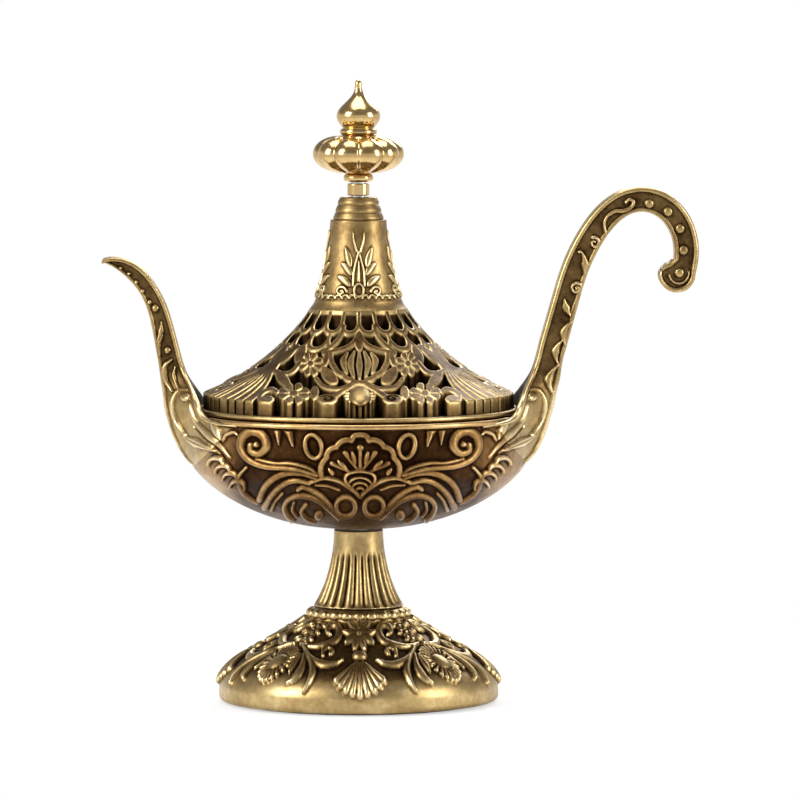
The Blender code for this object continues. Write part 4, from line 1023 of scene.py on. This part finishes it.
def make_arm(name, kind, rows, half_width, half_depth, relief):
    """An arm that grows out of the bowl's flank, with relief on both sides.

    half_width and half_depth are functions of the share of the run above the root. relief(x, z, across,
    half width) gives the side's height. The space that the lid sweeps stays free.
    """
    outer, inner = arm_edges(kind, rows, half_width)
    count, web = 72, 14
    flat = np.linspace(1.0, -1.0, count)
    rounding = np.clip(1.0 - np.abs(flat) ** 7, 0.0, 1.0) ** 0.5
    rounding = np.where(flat > 0, np.maximum(rounding, 0.3), rounding)
    share = (1.0 + flat) / 2
    u, z = (outer[:, k : k + 1] + (inner - outer)[:, k : k + 1] * share for k in (0, 1))
    run = np.linspace(0.0, 1.0, rows)[:, None]
    y = arm_depth(u, z, outer, half_depth(run) * rounding)
    width = np.linalg.norm(inner - outer, axis=1)[:, None] / 2
    arm = smooth_step(z, 59.0, 6.0)
    level = z - (y - half_depth(run)) * tan(VIEW_ELEVATION)
    flank = Relief(*in_view(u, y, z))
    flank_motifs(flank)
    raised = relief(u if kind == "handle" else -u, level, flat * width, width + 0 * u)
    low = flank.grid() * (1.0 - arm)
    height = np.where(raised > 0.0, np.maximum(low, raised), low) - PANEL_DEPTH * arm
    inset = smooth_step(rounding, 0.5, 0.35)[None, :]
    inset = np.where(flat > 0, np.maximum(inset, 1.0 - arm), inset)
    place = np.stack([u, y, z], -1)
    normal = np.cross(np.gradient(place, axis=0), np.gradient(place, axis=1))
    normal /= np.maximum(np.linalg.norm(normal, axis=2, keepdims=True), TINY)
    normal *= np.sign(normal[:, :, 1:2] + TINY)
    skin = 0.05 - 0.6 * smooth_step(1.0 - run / 0.05)
    place = place + normal * (height * inset + skin)[:, :, None]
    tone = arm * ARM_TONE + (1.0 - arm) * flank_wear_and_sheen(u)
    wear_and_painted_light = shade_of(height - height.min(), tone, ARM_CREST_TONE, 1.5 - 0.5 * arm)
    wear_and_painted_light = wear_and_painted_light * inset + ARM_EDGE_TONE * (1 - inset)
    # front side, back side and the inner face between them
    place[:, :, 1] = np.maximum(place[:, :, 1], 0.0)
    back = place[:, ::-1][:, 1:] * (1.0, -1.0, 1.0)
    across = np.linspace(-1.0, 1.0, web + 2)[1:-1]
    start = place[:, :1]
    inside = np.stack([start[:, :, 0] + 0 * across, start[:, :, 1] * across, start[:, :, 2] + 0 * across], -1)
    loop = np.concatenate([place, back, inside], 1)
    apart = np.hypot(loop[:, :, 0], loop[:, :, 1])
    keep_out = np.where(loop[:, :, 2] > RIM - 0.4, LID_SWEEP, RIM_BORE + 0.3)
    pushed = np.sqrt(np.maximum(keep_out**2 - loop[:, :, 1] ** 2, 0.0))
    loop[:, :, 0] = np.where(apart < keep_out, pushed, loop[:, :, 0])
    # the inner face between the sides is dark, painted shade, deepest towards the root
    hidden = 0.2 + 0.35 * smooth_step(inner[:, 1:], 66.0, 6.0) + np.zeros((rows, web))
    values = np.concatenate([wear_and_painted_light, wear_and_painted_light[:, ::-1][:, 1:], hidden], 1)
    columns = loop.shape[1]
    first = np.arange(columns)
    faces = [grid_faces(rows, columns), *end_cap(first + (rows - 1) * columns)]
    sides = first[: 2 * count - 1]
    behind = np.concatenate([first[:1], first[2 * count - 1 :][::-1], sides[-1:]])
    faces.append(root_cap(sides, behind)[:, ::-1])
    mirror = (1.0, -1.0, 1.0)
    if kind == "spout":
        faces = [f[:, ::-1] for f in faces]
        mirror = (-1.0, -1.0, 1.0)
    return new_object(name, (loop * mirror).reshape(-1, 3), faces, values)


def edge_beads(r, across, half_width, inner, outer):
    """Beads along both edges of an arm's side, with the half widths inner and outer."""
    for sign, size, height in ((1.0, inner, 0.95), (-1.0, outer, 0.7)):
        away = np.abs(sign * across.ravel() - (half_width.ravel() - size))
        r.height = np.maximum(r.height, height * np.sqrt(np.clip(1.0 - (away / size) ** 2, 0.0, 1.0)))


def spout_relief(x, z, across, half_width):
    """Beads along the edges, and a chain of drops and curled leaves in a sunk panel between them."""
    r = Relief(x, z)
    for at, size in (
        ((-47.4, 87.0), 0.4), ((-45.8, 85.9), 0.42), ((-44.3, 84.2), 0.46), ((-43.1, 82.4), 0.52),
        ((-41.7, 80.2), 0.55), ((-40.5, 79.0), 0.8), ((-38.1, 70.6), 0.75),
    ):
        r.dome(at, size, 0.75)
    r.lines(0.8, ((0.2, 0.8, 0.25), (-37.2, 68.8), (-38.7, 67.4), (-38.7, 65.0), (-37.2, 62.6)))
    r.lines(0.75, ((0.15, 0.7, 0.2), (-39.3, 76.4), (-39.4, 74.4), (-40.1, 72.4)))
    r.lines(
        0.7,
        ((0.15, 0.6, 0.2), (-39.1, 73.6), (-39.9, 71.6), (-39.7, 69.6)),
        ((0.15, 0.5, 0.2), (-36.6, 67.4), (-36.9, 65.4), (-36.0, 63.0)),
    )
    edge_beads(r, across, half_width, 0.42, 0.28)
    return r.grid()


def handle_relief(x, z, across, half_width):
    """Beads along the edges, and leaves, curls and a row of discs in a sunk panel between them."""
    r = Relief(x, z)
    for at in ((57.95, 99.8), (61.7, 98.2), (64.1, 94.8), (64.8, 90.5), (64.0, 86.0)):
        r.dome(at, 0.95, 0.75, crown=0.3)
    curl = arc((63.9, 85.9), 2.0, 10, -170, 12)
    r.stroke(curl, tapered(curl, 0.2, 0.35, 0.15), 0.6)
    scroll = (
        (49.3, 93.8), (49.0, 95.8), (49.6, 97.3), (51.1, 98.3), (52.8, 98.4), (54.3, 99.1), (54.8, 100.1),
        (54.0, 100.7), (53.3, 100.1),
    )
    r.lines(0.8, ((0.35, 0.52, 0.4), *scroll))
    r.lines(0.65, ((0.2, 0.4, 0.15), (49.6, 93.4), (51.3, 96.0), (52.8, 97.2)))
    r.scroll((47.0, 92.0), 1.15, pi * 0.6, -1.2, 0.46, 0.8)
    r.scroll((43.4, 82.9), 1.2, 0.3, 1.3, 0.46, 0.8, 0.3)
    r.dome((44.0, 90.2), 0.45, 0.7)
    for base, tip, bend in (
        ((44.5, 90.2), (45.0, 84.9), 0.5),
        ((41.1, 80.8), (42.3, 77.4), -0.3),
        ((42.6, 76.4), (41.4, 71.3), -1.05),
        ((40.7, 72.6), (39.9, 67.7), -1.0),
        ((39.9, 67.6), (38.7, 62.0), -1.2),
    ):
        leaf = bowed(base, tip, bend, 20)
        r.stroke(leaf, tapered(leaf, 0.15, 0.95, 0.15), 0.8)
    r.lines(0.55, (0.25, (42.2, 77.4), (43.0, 79.6), (44.2, 82.0)))
    edge_beads(r, across, half_width, 0.55, 0.45)
    return r.grid()


# Finial and dish


def knob_profile():
    collar_top, bulb_top, ring_top, tip = 105.8, 113.4, 114.8, KNOB_TIP
    bud = tip - ring_top
    waist = 3.02
    return joined(
        [(0.01, tip), (0.45, tip - 0.15), (0.7, tip - 0.7)],
        bezier((0.7, tip - 1.4), (0.7, tip - 0.5 * bud), (7.1, ring_top + 0.42 * bud), (waist, ring_top), 60),
        arc((waist, ring_top - 0.7), 0.7, 75, -75, 14),
        bezier((waist, bulb_top), (11.26, bulb_top), (11.26, collar_top), (2.2, collar_top), 90),
        arc((2.15, KNOB_BASE + 0.85), 0.85, 60, -90, 14),
        [(1.8, KNOB_BASE)],
    )


def knob_relief(angle, radius, z):
    """Gadroons on the squat bulb."""
    bulb = (z > 106.0) & (z < 113.2) & (radius > 3.0)
    lobe = np.abs(np.sin(5.0 * angle))[None, :] ** 0.7
    swell = smooth_step(radius, 3.0, 3.0)
    return -0.7 * (1.0 - lobe) * swell * bulb


def ferrule_profile():
    return joined(
        [(STUD_HOLE, FERRULE_TOP), (2.0, FERRULE_TOP)],
        arc((2.0, 103.6), 0.2, 90, 0, 4),
        arc((2.0, 101.6), 0.2, 0, -90, 4),
        [(STUD_HOLE, FERRULE_BASE)],
    )


def dish_profile():
    return joined(
        [(DISH_HOLE, DISH_TOP), (25.8, DISH_TOP)],
        bezier((26.2, DISH_TOP), (26.9, 45.5), (27.1, 45.8), (27.4, 46.3), 8),
        arc((29.6, 47.4), 0.4, 150, 0, 8),
        bezier((27.9, 44.7), (27.7, DISH_BASE), (27.5, DISH_BASE), (27.0, DISH_BASE), 6),
        [(DISH_HOLE, DISH_BASE)],
    )


# Materials


class Nodes:
    """The nodes of a material or a world, whose first shader is given by name."""

    def __init__(self, owner, shader="Principled BSDF"):
        owner.use_nodes = True
        self.owner = owner
        self.tree = owner.node_tree
        self.shader = self.tree.nodes[shader]

    def feed(self, node, inputs):
        """Set a node's inputs by name or number, each to a value or to another node's output."""
        for key, value in inputs.items():
            if isinstance(value, bpy.types.NodeSocket):
                self.tree.links.new(value, node.inputs[key])
            else:
                node.inputs[key].default_value = value

    def add(self, kind, inputs, **settings):
        node = self.tree.nodes.new(kind)
        for key, value in settings.items():
            setattr(node, key, value)
        self.feed(node, inputs)
        return node

    def noise(self, scale, detail=4.0, roughness=0.6):
        place = self.add("ShaderNodeTexCoord", {}).outputs["Object"]
        inputs = {"Vector": place, "Scale": scale, "Detail": detail, "Roughness": roughness}
        return self.add("ShaderNodeTexNoise", inputs).outputs["Fac"]

    def maths(self, operation, a, b):
        return self.add("ShaderNodeMath", {0: a, 1: b}, operation=operation).outputs[0]

    def ramp(self, factor, *stops):
        """A colour ramp with stops of position and colour, where one number is a grey."""
        node = self.add("ShaderNodeValToRGB", {"Fac": factor})
        elements = node.color_ramp.elements
        while len(elements) < len(stops):
            elements.new(0.5)
        for element, (position, colour) in zip(elements, stops):
            element.position = position
            element.color = (*(colour if isinstance(colour, tuple) else (colour,) * 3), 1.0)
        return node.outputs["Color"]

    def mix(self, factor, first, second):
        """The mix of two shaders' outputs, led to the surface."""
        mixed = self.add("ShaderNodeMixShader", {"Fac": factor, 1: first, 2: second}).outputs["Shader"]
        is_world = isinstance(self.owner, bpy.types.World)
        self.feed(self.tree.nodes["World Output" if is_world else "Material Output"], {"Surface": mixed})

    def bump(self, height, strength, distance):
        inputs = {"Height": height, "Strength": strength, "Distance": distance}
        self.feed(self.shader, {"Normal": self.add("ShaderNodeBump", inputs).outputs["Normal"]})

    def any_ray(self, *kinds):
        """One for the named kinds of ray, nought for others."""
        path = self.add("ShaderNodeLightPath", {})
        total = path.outputs[kinds[0]]
        for kind in kinds[1:]:
            total = self.maths("MAXIMUM", total, path.outputs[kind])
        return total


def new_material(name):
    return Nodes(bpy.data.materials.new(name))


def aged_brass(name, warmth=0.0):
    """Cast brass, dark to bright by each vertex's wear and painted light: patina and painted shade in the
    hollows, rubbed bright with painted highlights on the crests, speckled and slightly pitted.

    warmth turns the patina redder.
    """
    n = new_material(name)
    mixed = n.add("ShaderNodeAttribute", {}, attribute_name="wear_and_painted_light").outputs["Fac"]
    patch = n.noise(140.0, 6.0, 0.65)
    fine = n.noise(900.0, 3.0, 0.6)
    for spots, amount in ((patch, 0.55), (fine, 0.3)):
        mixed = n.maths("ADD", mixed, n.maths("MULTIPLY", n.maths("SUBTRACT", spots, 0.5), amount))
    tinted = []
    for position, (red, green, blue) in (
        (0.04, (0.012, 0.006, 0.003)),
        (0.26, (0.048, 0.025, 0.009)),
        (0.52, (0.185, 0.115, 0.042)),
        (0.76, (0.40, 0.285, 0.122)),
        (1.00, (0.66, 0.52, 0.28)),
    ):
        tint = warmth * (1.0 - 0.6 * position)
        tinted.append((position, (red, green * (1.0 - 0.22 * tint), blue * (1.0 - 0.35 * tint))))
    rough = n.ramp(mixed, (0.1, 0.66), (0.5, 0.46), (0.95, 0.32))
    n.feed(n.shader, {"Base Color": n.ramp(mixed, *tinted), "Roughness": rough, "Metallic": 1.0})
    n.bump(n.maths("ADD", fine, n.maths("MULTIPLY", patch, 1.5)), 0.25, 0.00012)
    return n.owner


def plain_metal(name, patch, dark, light, rough, grain, bump):
    """Smooth metal, dark and rough to light and less rough in soft patches, with a fine grain."""
    n = new_material(name)
    patch = n.noise(*patch)
    colour = n.ramp(patch, (0.3, dark), (0.7, light))
    rough = n.ramp(patch, (0.3, rough[0]), (0.7, rough[1]))
    n.feed(n.shader, {"Base Color": colour, "Roughness": rough, "Metallic": 1.0})
    n.bump(n.noise(*grain), *bump)
    return n.owner


def black_felt():
    n = new_material("pressed_felt")
    fibre = n.noise(1800.0, 6.0, 0.75)
    colour = n.ramp(fibre, (0.3, 0.012), (0.7, (0.05, 0.048, 0.045)))
    n.feed(n.shader, {"Base Color": colour, "Roughness": 0.95})
    n.bump(fibre, 0.6, 0.0003)
    return n.owner


# Assembly


def dress(obj, body, slot, material, *nodes):
    obj.data.materials.append(material)
    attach(obj, body)
    if nodes:
        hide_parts(*nodes)


def spout_half_width(t):
    return 2.2 - 0.95 * np.minimum(t, 0.5) - 1.45 * np.clip((t - 0.6) / 0.4, 0, 1) ** 2


def make_pieces():
    relief = aged_brass("aged_brass_relief")
    warm = aged_brass("aged_brass_bowl", 1.0)
    gold = plain_metal(
        "polished_gold_plate", (120.0, 4.0, 0.6), (0.46, 0.30, 0.12), (0.62, 0.45, 0.21), (0.24, 0.14),
        (1600.0, 2.0, 0.5), (0.12, 0.00004),
    )
    brass = plain_metal(
        "plain_brass_turned", (60.0, 5.0, 0.6), (0.42, 0.29, 0.11), (0.66, 0.50, 0.23), (0.45, 0.28),
        (1200.0, 2.0), (0.15, 0.00005),
    )
    foot = turned_piece("foot_cast", foot_profile(), 200, 800, foot_relief, foot_ground)
    dress(foot, "base", "aged_brass", relief, "foot")
    stem = turned_piece("stem_cast", stem_profile(), 110, 480, stem_relief, STEM_TONE)
    dress(stem, "base", "aged_brass", relief, "stem")
    dress(make_bowl(), "base", "aged_brass", warm, "bowl")
    spout = make_arm("spout_cast", "spout", 260, spout_half_width, lambda t: 3.4 - 1.4 * t, spout_relief)
    dress(spout, "base", "aged_brass", relief, "spout")
    handle = make_arm(
        "handle_cast", "handle", 420, lambda t: 2.75 - 0.3 * t, lambda t: 3.0 + 0 * t, handle_relief
    )
    dress(handle, "base", "aged_brass", relief, "handle")
    dress(make_dome(), "lid", "aged_brass", relief, "lid_dome")
    dress(make_buttons(), "lid", "aged_brass", relief)
    neck = turned_piece("neck_cast", neck_profile(), 260, 400, neck_relief, NECK_TONE)
    dress(neck, "lid", "aged_brass", relief, "lid_neck")
    flange = turned_piece("lid_ring", flange_profile(), 70, 240, None, flange_tone)
    dress(flange, "lid_ring", "aged_brass", relief, "lid_flange")
    knob = turned_piece("finial_bud", knob_profile(), 170, 240, knob_relief)
    dress(knob, "lid", "polished_gold", gold, "finial_knob")
    ferrule = turned_piece("finial_tube", ferrule_profile(), 40, 120)
    dress(ferrule, "lid", "polished_gold", gold, "finial_ferrule")
    dish = turned_piece("dish_spun", dish_profile(), 120, 180)
    dress(dish, "dish", "plain_brass", brass, "incense_dish")
    finish_solids(brass)


def finish_solids(brass):
    """Better materials for the solids that stay as they are."""
    zinc = plain_metal(
        "zinc_plated_hardware", (260.0, 4.0, 0.6), (0.45, 0.45, 0.44), (0.70, 0.70, 0.68), (0.45, 0.28),
        (1500.0, 2.0), (0.15, 0.00005),
    )
    finishes = {"plain_brass": brass, "zinc_plated_steel": zinc, "black_felt": black_felt()}
    slots = {part["node"]: part["material_slot"] for part in frame["record"]["subparts"]}
    for node, obj in frame["nodes"].items():
        if slots.get(node) in finishes:
            obj.data.materials.clear()
            obj.data.materials.append(finishes[slots[node]])


# Stage


def area_light(name, place, aim, size, power):
    data = bpy.data.lights.new(name, "AREA")
    data.shape = "RECTANGLE"
    data.size, data.size_y = (s * MM for s in size)
    data.energy = power
    lamp = linked(name, data)
    lamp.location = Vector(place) * MM
    lamp.rotation_euler = (aim - Vector(place)).to_track_quat("-Z", "Y").to_euler()


def make_world():
    """A white studio: soft grey light, white for the camera and in reflections, dimmer overhead."""
    world = bpy.data.worlds.new("studio")
    bpy.context.scene.world = world
    n = Nodes(world, "Background")
    n.feed(n.shader, {"Color": (1.0, 1.0, 1.0, 1.0), "Strength": 0.45})
    place = n.add("ShaderNodeTexCoord", {}).outputs["Generated"]
    up = n.add("ShaderNodeSeparateXYZ", {"Vector": place}).outputs["Z"]
    white = n.add("ShaderNodeBackground", {"Color": n.ramp(up, (0.08, 1.0), (0.35, 0.3)), "Strength": 1.0})
    rays = n.any_ray("Is Camera Ray", "Is Glossy Ray", "Is Transmission Ray")
    n.mix(rays, n.shader.outputs["Background"], white.outputs["Background"])


def floor_material():
    """Pale matt floor that keeps the shadow under the object and runs out to white."""
    n = new_material("pale_floor")
    colour = n.ramp(n.noise(40.0, 3.0), (0.2, 0.90), (0.8, 0.94))
    n.feed(n.shader, {"Base Color": colour, "Roughness": 0.9, "Specular IOR Level": 0.1})
    place = n.add("ShaderNodeTexCoord", {}).outputs["Object"]
    distance = n.add("ShaderNodeVectorMath", {0: place}, operation="LENGTH").outputs["Value"]
    near = n.ramp(distance, (0.03, 0.55), (0.16, 1.0))
    far = n.ramp(distance, (0.08, 0.0), (0.40, 1.0))
    seen = n.maths("MULTIPLY", near, n.any_ray("Is Camera Ray"))
    mirrored = n.maths("MULTIPLY", far, n.any_ray("Is Glossy Ray", "Is Transmission Ray"))
    white = n.add("ShaderNodeEmission", {"Strength": 1.0})
    n.mix(n.maths("MAXIMUM", seen, mirrored), n.shader.outputs["BSDF"], white.outputs["Emission"])
    return n.owner


def make_stage():
    make_world()
    target = Vector(VIEW_TARGET)
    area_light("key", (-520, -300, 360), target, (260, 420), 4.6)
    area_light("fill", (560, -240, 260), target, (200, 420), 2.6)
    area_light("top", (0, 60, 640), target, (420, 360), 2.4)
    area_light("back", (160, 520, 420), target, (420, 300), 2.6)
    mesh = bpy.data.meshes.new("floor")
    half = 3.0
    corners = [(-half, -half, 0), (half, -half, 0), (half, half, 0), (-half, half, 0)]
    mesh.from_pydata(corners, [], [(0, 1, 2, 3)])
    mesh.materials.append(floor_material())
    floor = linked("floor", mesh)
    lens = bpy.data.cameras.new("camera")
    lens.sensor_width = SENSOR_WIDTH
    lens.lens = SENSOR_WIDTH * VIEW_DISTANCE / VIEW_WIDTH
    lens.clip_start = 0.05
    camera = linked("camera", lens)
    level = cos(VIEW_ELEVATION)
    away = Vector((sin(VIEW_AZIMUTH) * level, -cos(VIEW_AZIMUTH) * level, sin(VIEW_ELEVATION)))
    camera.location = (target + away * VIEW_DISTANCE) * MM
    camera.rotation_euler = (-away).to_track_quat("-Z", "Y").to_euler()
    bpy.context.scene.camera = camera
    bpy.context.scene.view_settings.view_transform = "Standard"


make_pieces()
make_stage()
